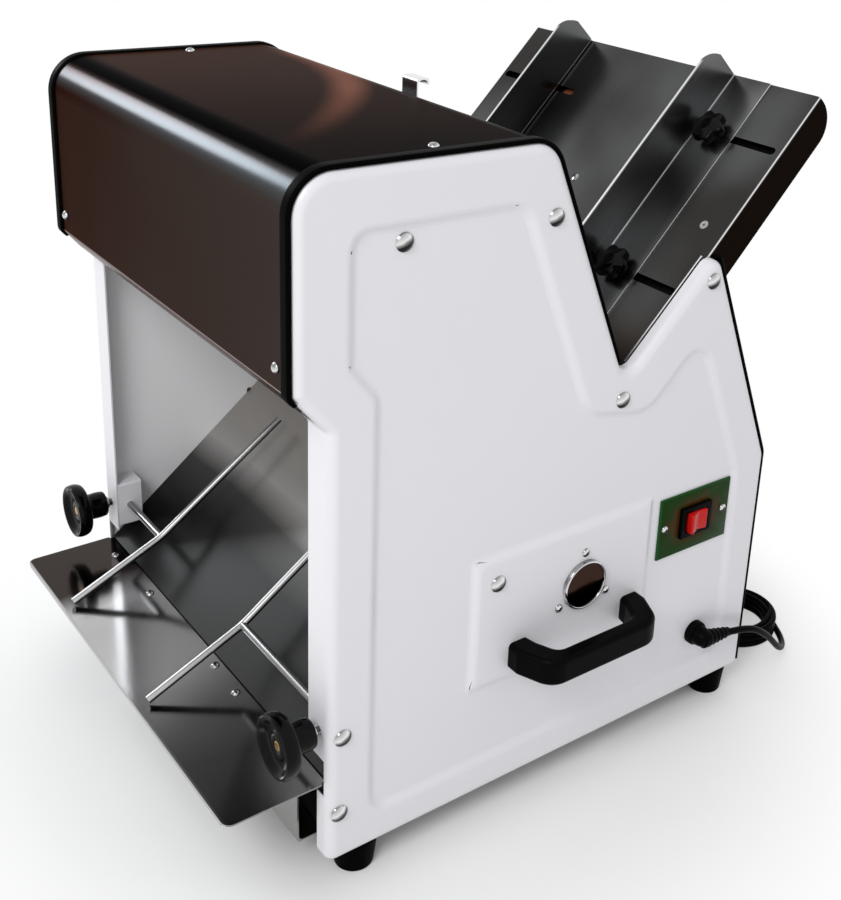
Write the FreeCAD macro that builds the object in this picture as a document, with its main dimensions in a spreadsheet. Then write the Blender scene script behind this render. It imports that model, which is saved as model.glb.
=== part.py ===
"""Bench-top bread slicer: a loaf slides down a tilted chute through two sets of
reciprocating blades, and the slices land on a sloping plate and a front tray.

Millimetres. Every piece is drawn in machine coordinates: X across the machine,
Y from the front face of the side panels towards the back, Z up from the lower
edge of the side panels. One placement then puts the origin at the bottom centre.
"""
import FreeCAD, Part
import math
import os
import re

Vector = FreeCAD.Vector

SIZES = {
    # side panels and the frame plates inside them
    "half_width": 235.0, "body_height": 595.0, "body_depth": 522.0, "foot_height": 30.0,
    "sheet": 1.5, "fold_radius": 9.0, "panel_flange": 14.0, "front_flange": 33.0,
    "lower_front": 29.0, "step_low": 396.0, "step_high": 431.0,
    "top_corner": 32.0, "notch_corner": 30.0, "blade_tilt": 67.0, "notch_tilt": 45.0,
    "notch_low_y": 323.4, "notch_low_z": 371.8, "horn_y": 425.8,
    "press_depth": 4.0, "press_slope": 6.0, "press_margin": 44.0, "press_low": 32.0,
    "raised_front": 170.0, "raised_back": 371.0, "raised_low": 113.0, "raised_high": 239.0,
    "plate_thickness": 3.0, "plate_inset": 6.0, "plate_inner": 226.0,
    "screw_edge": 61.0, "tie_radius": 7.0, "tie_edge": 22.0,
    # covers and their rubber edging
    "cover_half": 219.5, "cover_screw_x": 210.0, "rear_drop": 56.0, "rear_hem": 34.0,
    "trim_width": 12.0, "trim_proud": 3.5, "trim_end": 18.0,
    "tab_width": 24.0, "tab_rise": 9.0, "tab_foot": 30.0, "tab_hook": 13.0,
    # loaf chute and its two side fences
    "chute_tilt": 46.5, "chute_top_y": 561.9, "chute_top_z": 597.9, "chute_half": 213.0,
    "chute_flange": 36.0, "chute_round": 28.0, "chute_flange_length": 325.0,
    "slot_inner": 85.0, "slot_outer": 206.0, "chute_screw_x": 186.0, "chute_screw": 160.0,
    "spacer_radius": 9.0, "spacer_pitch": 95.0,
    "slot_width": 8.0, "slot_upper": 68.0, "slot_lower": 232.0, "fence_height": 50.0,
    "fence_foot": 50.0, "fence_length": 280.0, "fence_left": 112.0, "fence_right": 103.0,
    "stud_place": 25.0, "stud_radius": 3.0,
    # outlet
    "outlet_tilt": 39.5, "outlet_y": 33.0, "outlet_z": 80.0, "outlet_half": 225.5,
    "outlet_back": 236.0, "outlet_screw_x": 180.0, "outlet_screw_edge": 20.0,
    "tray_reach": 58.0, "tray_hem": 5.0, "apron_half": 197.0, "apron_y": 21.0,
    "rail_radius": 3.6, "rail_y": 43.0, "rail_z": 127.5, "rail_left": 124.0, "rail_right": 56.0,
    "rail_high_y": 176.0, "rail_high_z": 225.0, "rail_low_y": -48.0, "rail_low_z": 85.0,
    "bracket_face": 202.0, "bracket_low": 105.0, "bracket_height": 48.0, "bracket_depth": 25.0,
    "clamp_x": 218.5, "clamp_radius": 28.0, "clamp_hub": 14.0, "clamp_stud": 4.0,
    # drive and blades
    "crank_y": 290.6, "crank_z": 180.0, "crank_throw": 18.0, "shaft_radius": 10.0,
    "disc_radius": 26.0, "pulley_radius": 27.0, "pulley_x": 120.0, "frame_low": 44.0,
    "frame_headroom": 102.0, "frame_half": 198.0, "frame_gap": 2.0, "bar_width": 12.0,
    "blade_pitch": 12.0, "blade_width": 12.0, "blade_thickness": 0.8, "guide_x": 210.0,
    "guide_radius": 5.0, "rod_layer": 213.0, "rod_thickness": 6.0, "running_gap": 0.05,
    "bearing_x": 165.0, "bearing_drop": 62.0, "beam_thickness": 6.0,
    "motor_y": 430.0, "motor_z": 92.0, "motor_radius": 56.0, "motor_length": 190.0,
    # fittings
    "screw_radius": 7.4, "cap_radius": 27.0, "cap_screw_circle": 32.0, "cap_height": 5.0,
    "handle_front": 208.0, "handle_back": 360.0, "handle_low": 122.0, "handle_tall": 26.0,
    "handle_reach": 46.0, "handle_bar": 16.0,
    "switch_front": 384.0, "switch_back": 477.0, "switch_low": 170.0, "switch_high": 234.0,
    "pivot_radius": 2.0, "pivot_reach": 11.2,
    "foot_radius": 20.0, "foot_x": 211.0, "foot_front_y": 68.0, "foot_back": 24.0,
    "gland_y": 450.0, "gland_z": 66.0, "gland_radius": 12.5,
    "cord_radius": 3.5, "coil_x": 152.0, "coil_y": 606.0, "coil_outer": 48.0,
    "coil_height": 21.0, "plug_radius": 19.0, "plug_tail": 29.5,
    "flange_low": 216.0, "blade_room": 26.0, "guide_offset": 14.0, "frame_thickness": 12.0,
    "guide_headroom": 64.0, "bracket_thickness": 8.0,
}

doc = FreeCAD.newDocument("bread_slicer")
sheet = doc.addObject("Spreadsheet::Sheet", "Sizes")
for row, (alias, value) in enumerate(SIZES.items(), start=1):
    sheet.set(f"A{row}", alias)
    sheet.set(f"B{row}", str(value))
    sheet.setAlias(f"B{row}", alias)
doc.recompute()


class Values:
    """The sheet's cells as attributes, so that positions read as plain words."""

    def __getattr__(self, name):
        return float(sheet.get(name))


v = Values()
nodes = []


# ---------------------------------------------------------------- helpers

def bind(piece, **formulas):
    """Ties each named property to a formula over the sheet's aliases."""
    for name, formula in formulas.items():
        words = re.sub(r"[a-z][a-z_]+", lambda word: "Sizes." + word.group(0), formula)
        piece.setExpression(name, words)
    return piece


def turn(x=0.0, y=0.0, z=0.0, tilt=0.0, about=(1, 0, 0)):
    return FreeCAD.Placement(Vector(x, y, z), FreeCAD.Rotation(Vector(*about), tilt))


def keep(piece, name, at=None):
    """Names a finished piece and sets it in the machine, with the origin at the floor."""
    piece.Label = name
    centre = FreeCAD.Placement(Vector(0, -middle_y, v.foot_height), FreeCAD.Rotation())
    piece.Placement = centre.multiply(at or FreeCAD.Placement()).multiply(piece.Placement)
    nodes.append(piece)
    return piece


def box(x, y, z, size_x, size_y, size_z, name="block"):
    piece = doc.addObject("Part::Box", name)
    piece.Placement = turn(x, y, z)
    return bind(piece, Length=size_x, Width=size_y, Height=size_z)


def rod(radius, height, at, name="rod"):
    piece = doc.addObject("Part::Cylinder", name)
    piece.Placement = at
    return bind(piece, Radius=radius, Height=height)


def across(x, y, z):
    """A placement whose own Z axis runs along the machine's +X."""
    return turn(x, y, z, 90, (0, 1, 0))


def joined(pieces, name="joined"):
    piece = doc.addObject("Part::MultiFuse", name)
    piece.Shapes = pieces
    return piece


def group(pieces, name="group"):
    """Separate solids that are one node, such as a set of screws."""
    piece = doc.addObject("Part::Compound", name)
    piece.Links = pieces
    return piece


def cut(base, tools, name="cut"):
    for tool in tools:
        piece = doc.addObject("Part::Cut", name)
        piece.Base = base
        piece.Tool = tool
        base = piece
    return base


def fillet(base, pick, radius, name="rounded"):
    """Rounds the edges that pick accepts, as lists of their end points."""
    doc.recompute()
    chosen = [number for number, edge in enumerate(base.Shape.Edges, start=1)
              if pick([corner.Point for corner in edge.Vertexes], edge)]
    piece = doc.addObject("Part::Fillet", name)
    piece.Base = base
    piece.Edges = [(number, radius, radius) for number in chosen]
    return piece


def corner_points(outline, number, closed):
    count = len(outline)
    here = Vector(outline[number][0], outline[number][1], 0)
    if not closed and number in (0, count - 1):
        return here, here, here
    back = Vector(*outline[number - 1][:2], 0) - here
    ahead = Vector(*outline[(number + 1) % count][:2], 0) - here
    radius = outline[number][2]
    half = back.getAngle(ahead) / 2
    if radius <= 0 or abs(half - math.pi / 2) < 1e-6:
        return here, here, here
    reach = radius / math.tan(half)
    back.normalize()
    ahead.normalize()
    middle = (back + ahead).normalize() * (radius / math.sin(half) - radius)
    return here + back * reach, here + middle, here + ahead * reach


def edges_of(outline, closed=True):
    """Straight runs and tangent arcs through an outline's (a, b, radius) corners."""
    corners = [corner_points(outline, number, closed) for number in range(len(outline))]
    edges = []
    last = len(corners) if closed else len(corners) - 1
    for number in range(len(corners)):
        start, middle, end = corners[number]
        if (start - end).Length > 1e-6:
            edges.append(Part.Arc(start, middle, end))
        if number < last:
            following = corners[(number + 1) % len(corners)][0]
            if (following - end).Length > 1e-6:
                edges.append(Part.LineSegment(end, following))
    return edges


def shifted(outline, distance, closed=True):
    """The outline moved to its left by a distance; arcs keep their centres."""
    count = len(outline)
    points = [Vector(*corner[:2], 0) for corner in outline]
    result = []
    for number, here in enumerate(points):
        inward = here - points[number - 1] if closed or number > 0 else points[1] - here
        onward = points[(number + 1) % count] - here if closed or number < count - 1 else inward
        inward.normalize()
        onward.normalize()
        left_in = Vector(-inward.y, inward.x, 0)
        left_on = Vector(-onward.y, onward.x, 0)
        turning = inward.x * onward.y - inward.y * onward.x
        scale = distance / (1 + left_in.dot(left_on))
        moved = here + (left_in + left_on) * scale
        radius = outline[number][2]
        if radius > 0:
            radius = max(radius - math.copysign(distance, turning), 0.4)
        result.append((moved.x, moved.y, radius))
    return result


def sketch_on(body, role, outline, offset=0.0, circles=()):
    plane = next(part for part in body.Origin.OriginFeatures if part.Role == role)
    sketch = body.newObject("Sketcher::SketchObject", "outline")
    sketch.AttachmentSupport = [(plane, "")]
    sketch.MapMode = "FlatFace"
    sketch.AttachmentOffset = turn(z=offset)
    sketch.addGeometry(edges_of(outline), False)
    for a, b, radius in circles:
        sketch.addGeometry(Part.Circle(Vector(a, b, 0), Vector(0, 0, 1), radius), False)
    return sketch


def slab(outline, x, thickness, side=1, circles=(), role="YZ_Plane", name="slab"):
    """A padded outline; side -1 pads towards the plane's negative side."""
    body = doc.addObject("PartDesign::Body", name)
    sketch = sketch_on(body, role, outline, x, circles)
    pad = body.newObject("PartDesign::Pad", "pad")
    pad.Profile = sketch
    bind(pad, Length=thickness)
    pad.Reversed = side < 0
    body.Tip = pad
    sketch.Visibility = False
    return body


def tapered(outline, x, narrow, depth, side, name="press"):
    """A loft from an outline at x to the same outline moved in by narrow, depth deeper."""
    sections = []
    for place, shape in ((x, outline), (x - side * depth, shifted(outline, narrow))):
        body = doc.addObject("Part::Feature", "section")
        body.Shape = Part.Wire([edge.toShape() for edge in edges_of(shape)])
        body.Placement = FreeCAD.Placement(Vector(place, 0, 0), FreeCAD.Rotation(
            Vector(0, 1, 0), Vector(0, 0, 1), Vector(1, 0, 0), "ZXY"))
        sections.append(body)
    piece = doc.addObject("Part::Loft", name)
    piece.Sections = sections
    piece.Solid = True
    piece.Ruled = True
    return piece


def strip(path, low, high, x, thickness, side=1, name="strip"):
    """A bent sheet: the band between an open path moved left by low and by high."""
    near = shifted(path, low, closed=False)
    far = shifted(path, high, closed=False)
    return slab(near + far[::-1], x, thickness, side, name=name)


# ------------------------------------------------- the machine's main lines

chute_lean = math.radians(v.chute_tilt)
blade_lean = math.radians(v.blade_tilt)
outlet_lean = math.radians(v.outlet_tilt)
blade_slope = math.cos(blade_lean) / math.sin(blade_lean)
horn_z = v.notch_low_z + (v.horn_y - v.notch_low_y) * math.tan(math.radians(v.notch_tilt))
rear_bend_z = horn_z - (v.body_depth - v.horn_y) / blade_slope
chute_back = (v.chute_top_y + v.chute_round * (1 - math.cos(chute_lean))
              + (v.chute_flange - v.chute_round) * math.sin(chute_lean))
middle_y = (chute_back - v.tray_reach) / 2
top_length = v.notch_low_y - (v.body_height - v.notch_low_z) * blade_slope

OUTLINE = [
    (v.lower_front, 0, 8), (v.body_depth, 0, 6), (v.body_depth, rear_bend_z, 16),
    (v.horn_y, horn_z, 12), (v.notch_low_y, v.notch_low_z, 12),
    (top_length, v.body_height, v.notch_corner), (0, v.body_height, v.top_corner),
    (0, v.step_high, 6), (v.lower_front, v.step_low, 6),
]


def chute_point(up, above=0.0):
    """Machine (y, z) of a point on the chute: up its slope from the top edge, and above it."""
    y = v.chute_top_y + up * math.cos(chute_lean) - above * math.sin(chute_lean)
    z = v.chute_top_z + up * math.sin(chute_lean) + above * math.cos(chute_lean)
    return y, z


def on_chute(x=0.0, up=0.0, above=0.0):
    y, z = chute_point(up, above)
    return turn(x, y, z, v.chute_tilt)


# the blades run along a line through the crankshaft; it meets the chute's floor here
below_chute = ((v.chute_top_z - v.crank_z) * math.cos(chute_lean)
               - (v.chute_top_y - v.crank_y) * math.sin(chute_lean))
crank_drop = below_chute / math.sin(chute_lean + blade_lean)
crossing_y = v.crank_y - crank_drop * math.cos(blade_lean)
crossing_z = v.crank_z + crank_drop * math.sin(blade_lean)
chute_length = ((v.chute_top_y - crossing_y) * math.cos(chute_lean)
                + (v.chute_top_z - crossing_z) * math.sin(chute_lean))


def on_blades(x=0.0, behind=0.0, up=0.0):
    """A placement along the blades: its Z runs up them and its Y points to the back."""
    y = crossing_y - up * math.cos(blade_lean) + behind * math.sin(blade_lean)
    z = crossing_z + up * math.sin(blade_lean) + behind * math.cos(blade_lean)
    return turn(x, y, z, 90 - v.blade_tilt)


def on_outlet(x=0.0, up=0.0, above=0.0):
    y = v.outlet_y + up * math.cos(outlet_lean) - above * math.sin(outlet_lean)
    z = v.outlet_z + up * math.sin(outlet_lean) + above * math.cos(outlet_lean)
    return turn(x, y, z, v.outlet_tilt)


# the blade frames and their guides reach up to these places along the blades
blades_top = (v.body_height - crossing_z) / math.sin(blade_lean)
frame_high = blades_top - v.frame_headroom
guide_high = blades_top - v.guide_headroom

SCREWS = [(92, v.body_height - v.screw_edge), (231, v.body_height - v.screw_edge),
          (v.horn_y - 6, horn_z - 27), (v.notch_low_y - 3, v.notch_low_z - 17), (193, 214),
          (v.lower_front + 13, 124), (v.lower_front + 10, 50)]
SIDES = {"left": -1, "right": 1}
pressed_face = v.half_width - v.press_depth


# ------------------------------------------------------------ body pieces

def press_outline():
    """The pressed-in field of a side panel, running parallel to its edges."""
    inset = v.press_margin
    low = v.press_low
    top = v.body_height - inset
    front = v.lower_front + 38
    back = v.body_depth - 38
    return [
        (front, low, 20), (back + 5, low, 22), (back, rear_bend_z - 7, 14),
        (v.horn_y - 9, horn_z - 72, 24), (v.notch_low_y + 29, v.notch_low_z - 34, 30),
        (v.notch_low_y - 39, v.notch_low_z - 20, 30), (top_length - 25, top, 26),
        (inset, top, 18), (inset, v.step_high + 13, 10), (front, v.step_low + 18, 12),
    ]


def right_openings():
    """The switch's window and the lead's hole through the right-hand wall."""
    middle_switch = (v.switch_front + v.switch_back) / 2
    window = box(v.half_width - 30, middle_switch - 15.3, (v.switch_low + v.switch_high) / 2 - 12.3,
                 "60", "30.6", "24.6")
    return [window, rod("8", "60", across(v.half_width - 30, v.gland_y, v.gland_z))]


def side_panel(side):
    x_in = side * (v.half_width - v.front_flange)
    outer = fillet(slab(OUTLINE, x_in, "front_flange", side, name="panel_outside"),
                   lambda ends, edge: all(abs(p.x - side * v.half_width) < 0.01 for p in ends),
                   v.fold_radius)
    inner_line = shifted(OUTLINE, v.sheet)
    inner_face = side * (v.half_width - v.sheet)
    inner = fillet(slab(inner_line, x_in, "front_flange - sheet", side, name="panel_inside"),
                   lambda ends, edge: all(abs(p.x - inner_face) < 0.01 for p in ends),
                   v.fold_radius - v.sheet)
    field = press_outline()
    raised = [(v.raised_front, v.raised_low, 12), (v.raised_back, v.raised_low, 12),
              (v.raised_back, v.raised_high, 12), (v.raised_front, v.raised_high, 12)]
    slope = v.press_slope
    sinks = []
    for face, grow in ((v.half_width, 0.0), (v.half_width - v.sheet, v.sheet)):
        hollow = tapered(shifted(field, -grow), side * face, slope, v.press_depth, side)
        boss = tapered(shifted(raised, slope / 2 + grow), side * face, -slope, v.press_depth, side)
        sinks.append(cut(hollow, [boss], "sink"))
    skin = cut(cut(outer, [sinks[0]]), [cut(inner, [sinks[1]])], "skin")
    trims = []
    inner_edge = v.half_width - v.front_flange - 1

    def along_edge(reach, y, z, size_y, size_z):
        """Takes a panel's folded edge back to |X| = reach."""
        x = inner_edge if side > 0 else -reach
        trims.append(box(x, y, z, f"{reach - inner_edge}", str(size_y), str(size_z)))

    along_edge(v.half_width - v.panel_flange, 60, -10, v.body_depth, v.step_low + 30)
    along_edge(v.half_width - v.panel_flange, -10, v.step_low + 6, v.body_depth + 50, v.body_height)
    along_edge(v.plate_inner + 1, v.lower_front - 5, v.outlet_z - 14, 20, 35)
    along_edge(v.flange_low, v.lower_front - 5, -5, 20, 75)
    holes = [rod("clamp_stud + 2 * running_gap", "20",
                 turn(side * v.clamp_x, v.lower_front + 10, v.rail_z, 90))]
    holes += [rod("3.2", "60", across(side * v.half_width - 30, y, z)) for y, z in SCREWS]
    holes += [rod("cap_radius - 5", "60", across(side * v.half_width - 30, v.crank_y, v.crank_z))]
    if side > 0:
        holes += right_openings()
    return cut(skin, [joined(trims + holes, "openings")], "side_panel")


def frame_plate(side):
    line = shifted(OUTLINE, v.plate_inset)
    circles = [(y, z, 3.2) for y, z in SCREWS if y > 60]
    circles += [(v.crank_y, v.crank_z, 22), (v.rail_y, v.rail_z, 4.5)]
    plate = slab(line, side * v.plate_inner, "plate_thickness", side, circles, name="plate")
    return cut(plate, right_openings()) if side > 0 else plate


for word, side in SIDES.items():
    keep(side_panel(side), "side_panel_" + word)
keep(group([frame_plate(side) for side in SIDES.values()]), "frame_plates")



def on_step(share):
    """A point down the sloping step under the front of the cover, from its upper corner."""
    return v.lower_front * share, v.step_high - (v.step_high - v.step_low) * share, 0


def down_blades(y, z, drop):
    """A point lower on an edge that runs parallel to the blades."""
    return y + drop * blade_slope, z - drop, 0


TOP_PATH = [(0, v.step_high, 6), (0, v.body_height, v.top_corner),
            (top_length, v.body_height, v.notch_corner)]
COVER_PATH = [on_step(0.5)] + TOP_PATH + [down_blades(top_length, v.body_height, v.rear_hem)]
TRIM_PATH = [on_step(0.8)] + TOP_PATH + [down_blades(v.notch_low_y, v.notch_low_z, -v.trim_end)]
BACK_PATH = [(v.body_depth, rear_bend_z, 16), (v.body_depth, 4, 0)]
REAR_PATH = [down_blades(v.horn_y, horn_z, 8)] + BACK_PATH
REAR_COVER_PATH = [down_blades(v.horn_y, horn_z, v.rear_drop)] + BACK_PATH


def outside_edges(path):
    """Picks the two long outer edges of a strip that stands proud of a path."""
    line = Part.Wire([edge.toShape() for edge in edges_of(path, closed=False)])
    turned = FreeCAD.Placement(Vector(), FreeCAD.Rotation(
        Vector(0, 1, 0), Vector(0, 0, 1), Vector(1, 0, 0), "ZXY"))
    line.Placement = turned

    def pick(ends, edge):
        middle = edge.valueAt((edge.FirstParameter + edge.LastParameter) / 2)
        along = all(abs(abs(p.x) - abs(middle.x)) < 0.01 for p in ends)
        middle.x = 0
        return along and Part.Vertex(middle).distToShape(line)[0] > 2 and len(ends) == 2
    return pick


def revolved(profile, at, name="turned"):
    """A solid turned about its own Z axis from an (radius, height) outline."""
    body = doc.addObject("PartDesign::Body", name)
    sketch = sketch_on(body, "XZ_Plane", profile)
    spin = body.newObject("PartDesign::Revolution", "spin")
    spin.Profile = sketch
    spin.ReferenceAxis = (sketch, ["V_Axis"])
    spin.Angle = 360
    body.Tip = spin
    body.Placement = at
    sketch.Visibility = False
    return body


def facing(side, x, y, z):
    """A placement on a side wall whose own Z axis points outwards."""
    return turn(side * x, y, z, 90 * side, (0, 1, 0))


def pipe(points, radius, name="pipe"):
    """A round bar or tube along straight runs joined by tangent arcs."""
    corners = []
    for number, point in enumerate(points):
        here = Vector(*point[:3])
        if number in (0, len(points) - 1):
            corners.append((here, here, here))
            continue
        back = Vector(*points[number - 1][:3]) - here
        ahead = Vector(*points[number + 1][:3]) - here
        half = back.getAngle(ahead) / 2
        bend = point[3] if len(point) > 3 else min(back.Length, ahead.Length) * 0.45 * math.tan(half)
        reach = bend / math.tan(half)
        back.normalize()
        ahead.normalize()
        middle = (back + ahead).normalize() * (bend / math.sin(half) - bend)
        corners.append((here + back * reach, here + middle, here + ahead * reach))
    edges = []
    for number, (start, middle, end) in enumerate(corners):
        if (start - end).Length > 1e-6:
            edges.append(Part.Arc(start, middle, end).toShape())
        if number < len(corners) - 1:
            edges.append(Part.LineSegment(end, corners[number + 1][0]).toShape())
    spine = doc.addObject("Part::Feature", "route")
    spine.Shape = Part.Wire(edges)
    first = Vector(*points[1][:3]) - Vector(*points[0][:3])
    ring = doc.addObject("Part::Circle", "section")
    ring.Radius = radius
    ring.Placement = FreeCAD.Placement(Vector(*points[0][:3]), FreeCAD.Rotation(Vector(0, 0, 1), first))
    piece = doc.addObject("Part::Sweep", name)
    piece.Sections = [ring]
    piece.Spine = spine
    piece.Solid = True
    piece.Frenet = False
    return piece


# ------------------------------------------------------- covers and trims

cover_places = [turn(side * v.cover_screw_x, -v.sheet, v.step_high + 17, 90) for side in SIDES.values()]
cover_places += [turn(side * v.cover_screw_x, 129, v.body_height + v.sheet) for side in SIDES.values()]
cover = strip(COVER_PATH, 0, v.sheet, -v.cover_half, "2 * cover_half")
cover_holes = []
for place in cover_places:
    hole = rod("2.8", "8", place.multiply(turn(z=-4)))
    cover_holes.append(hole)
keep(cut(cover, cover_holes), "top_cover")
keep(strip(REAR_COVER_PATH, 0, v.sheet, -v.cover_half, "2 * cover_half"), "rear_cover")
for path, name in ((TRIM_PATH, "cover_trims"), (REAR_PATH, "rear_trims")):
    bands = [strip(path, 0, v.trim_proud, side * v.cover_half, "trim_width", side)
             for side in SIDES.values()]
    keep(group([fillet(band, outside_edges(path), 2.5) for band in bands]), name)

outside_cover = top_length + v.sheet / math.sin(blade_lean)
tab_bend = v.tab_foot - 13
tab_y = outside_cover + tab_bend * blade_slope
tab_top = v.body_height + v.tab_rise
TAB_PATH = [down_blades(outside_cover, v.body_height, v.tab_foot), (tab_y, v.body_height - tab_bend, 3),
            (tab_y, tab_top, 3), (tab_y + v.tab_hook, tab_top, 2.5), (tab_y + v.tab_hook, tab_top - 6, 0)]
keep(strip(TAB_PATH, -v.sheet, 0, 0, "tab_width"), "cover_tab")

# ------------------------------------------------------------ loaf chute

inner_end = chute_length - v.blade_room / math.sin(chute_lean + blade_lean)
run = f"{inner_end}"
half = v.chute_half
fold = [(-half, -v.chute_flange, 0), (-half, 0, 4), (half, 0, 4), (half, -v.chute_flange, 0)]
skin = shifted(fold, -v.sheet, closed=False)
channel = slab(fold + skin[::-1], 0, run, 1, role="XZ_Plane", name="channel")
channel.Placement = on_chute()
trims = [box(-half - 1, -v.chute_flange_length - 200, -v.chute_flange - 1, "2 * chute_half + 2",
             "200", "chute_flange - sheet - 1")]
for side in SIDES.values():
    corner = cut(box(side * half - 3, -v.chute_round, -v.chute_flange - 2, "6", "chute_round + 2",
                     "chute_round + 2"),
                 [rod("chute_round", "10", turn(side * half - 4, -v.chute_round,
                                                v.chute_round - v.chute_flange, 90, (0, 1, 0)))])
    trims.append(corner)
    for place in (v.slot_upper, v.slot_lower):
        low = v.slot_inner if side > 0 else -v.slot_outer
        slot = box(low, -place - v.slot_width / 2, -5, "slot_outer - slot_inner", "slot_width", "10")
        trims.append(fillet(slot, lambda ends, edge: abs(ends[0].z - ends[-1].z) > 9,
                            v.slot_width / 2 - 0.05))
chute_screws = [(x, -v.chute_screw) for x in (-v.chute_screw_x, 0, v.chute_screw_x)]
trims += [rod("3.7", "10", turn(x, up, -5)) for x, up in chute_screws]
openings = joined(trims, "chute_openings")
openings.Placement = on_chute()
keep(cut(channel, [openings], "chute"), "chute")

SCREW_HEAD = [(0, 0, 0), (4.2, 0, 0), (4.2, 0.6, 0), (2.4, 2.2, 1), (0, 2.6, 0)]
SMALL_SCREW = [(0, -4, 0), (2, -4, 0), (2, 0, 0)] + SCREW_HEAD[1:]
DOME = [(0, -7, 0), (2.5, -7, 0), (2.5, 0, 0), (v.screw_radius, 0, 0), (v.screw_radius, 1.1, 0.6),
        (3.2, 4.2, 4), (0, 4.4, 0)]
SHORT_DOME = [(a, max(b, -1.4), r) for a, b, r in DOME]
FLUSH_SCREW = [(0, -6, 0), (2, -6, 0), (2, -v.sheet, 0), (3.6, -v.sheet, 0), (3.6, 0, 0), (0, 0, 0)]
fixings = [revolved(FLUSH_SCREW, on_chute(x, up)) for x, up in chute_screws]

spacers = []
for side in SIDES.values():
    for place in (v.slot_lower, v.slot_lower + v.spacer_pitch):
        y, z = chute_point(-place, -v.chute_flange / 2)
        spacers.append(rod("spacer_radius", "plate_inner - chute_half", across(
            min(side * v.chute_half, side * v.plate_inner), y, z)))
keep(group(spacers), "chute_spacers")

# ---------------------------------------------------------- chute fences

for word, side, place in (("left", -1, v.fence_left), ("right", 1, v.fence_right)):
    tall = v.fence_height
    foot = v.fence_foot
    edge = [(foot, 0.1, 0), (0, 0.1, 3), (0, tall, 1.6), (3.2, tall, 1.6), (3.2, tall - 8, 0),
            (1.7, tall - 8, 0), (1.5, tall - 1.8, 0), (1.5, 1.6, 1.5), (foot, 1.6, 0)]
    outline = [(side * (place + x), h, r) for x, h, r in edge]
    wall = slab(outline, 0, "fence_length", 1, role="XZ_Plane", name="fence")
    tools = []
    block = box(-300, -32, tall - 29, "600", "40", "40")
    round_end = rod("30", "600", turn(-300, -27, tall - 30, 90, (0, 1, 0)))
    tools.append(cut(block, [round_end]))
    stud_x = side * (place + v.stud_place)
    for place_up in (v.slot_upper, v.slot_lower):
        tools.append(rod("stud_radius + 0.4", "10", turn(stud_x, -place_up, -4)))
    keep(cut(wall, tools), "fence_" + word, on_chute())
    bolts = []
    for number, place_up in enumerate((v.slot_upper, v.slot_lower), start=1):
        profile = [(0, -5, 0), (9, -5, 0), (9, -v.sheet - 0.1, 0), (v.stud_radius, -v.sheet - 0.1, 0),
                   (v.stud_radius, 14, 0.6), (0, 14, 0)]
        bolts.append(revolved(profile, on_chute(stud_x, -place_up)))
        lobes = [rod("5", "11", turn(math.cos(a) * 13, math.sin(a) * 13, 7))
                 for a in (math.radians(60 * lobe) for lobe in range(6))]
        crown = [(0, 1.65, 0), (8, 1.65, 0), (9, 7, 1), (14, 7, 0), (14, 16, 3), (8, 18, 2),
                 (0, 18.4, 0)]
        knob = cut(joined([revolved(crown, turn())] + lobes, "knob"),
                   [rod("stud_radius + running_gap", "15", turn(z=0))])
        keep(knob, f"fence_knob_{word}_{number}", on_chute(stud_x, -place_up))
    keep(group(bolts), "fence_bolts_" + word)

# ------------------------------------------------------ outlet and tray

plate_length = (v.outlet_back - v.outlet_y) / math.cos(outlet_lean)
sheet_plate = box(-v.outlet_half, 0, 0.5, "2 * outlet_half", f"{plate_length}", "sheet")
plate_screws = [(side * v.outlet_screw_x, plate_length - v.outlet_screw_edge) for side in SIDES.values()]
holes = [rod("2.2", "6", turn(x, up, -2)) for x, up in plate_screws]
keep(cut(sheet_plate, holes), "outlet_plate", on_outlet())
fixings += [revolved(SMALL_SCREW, on_outlet(x, up, 0.5 + v.sheet)) for x, up in plate_screws]

wide = v.half_width - 7
narrow = v.outlet_half
TRAY = [(-wide, -v.tray_reach, 8), (wide, -v.tray_reach, 8), (wide, 28, 2), (narrow, 28, 0),
        (narrow, 44, 0), (-narrow, 44, 0), (-narrow, 28, 0), (-wide, 28, 2)]
TRAY_HOLES = [(-190, 20), (-105, 21.5), (37, 24), (83, 22), (190, 20)]
tray = slab(TRAY, v.outlet_z - v.sheet, "sheet", 1, [(x, y, 2.2) for x, y in TRAY_HOLES],
            role="XY_Plane", name="tray")
hem = slab([(-wide + 8, -v.tray_reach, 0), (wide - 8, -v.tray_reach, 0),
            (wide - 8, -v.tray_reach + 3, 0), (-wide + 8, -v.tray_reach + 3, 0)],
           v.outlet_z - 3.5, "3.5", 1, role="XY_Plane", name="hem")
keep(joined([tray, hem], "tray"), "outlet_tray")
fixings += [revolved(SMALL_SCREW, turn(x, y, v.outlet_z)) for x, y in TRAY_HOLES]

APRON = [(46, 0, 0), (v.apron_y, 0, 3), (v.apron_y, v.outlet_z - v.sheet, 3), (42, v.outlet_z - v.sheet, 0)]
apron = strip(APRON, -v.sheet, 0, -v.apron_half, "2 * apron_half")
keep(cut(apron, [rod("2.4", "10", turn(x, y, v.outlet_z - 8)) for x, y in TRAY_HOLES]), "front_apron")
keep(box(-v.outlet_half, 46, v.sheet, "2 * outlet_half", "body_depth - 54", "2"), "base_plate")

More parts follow.
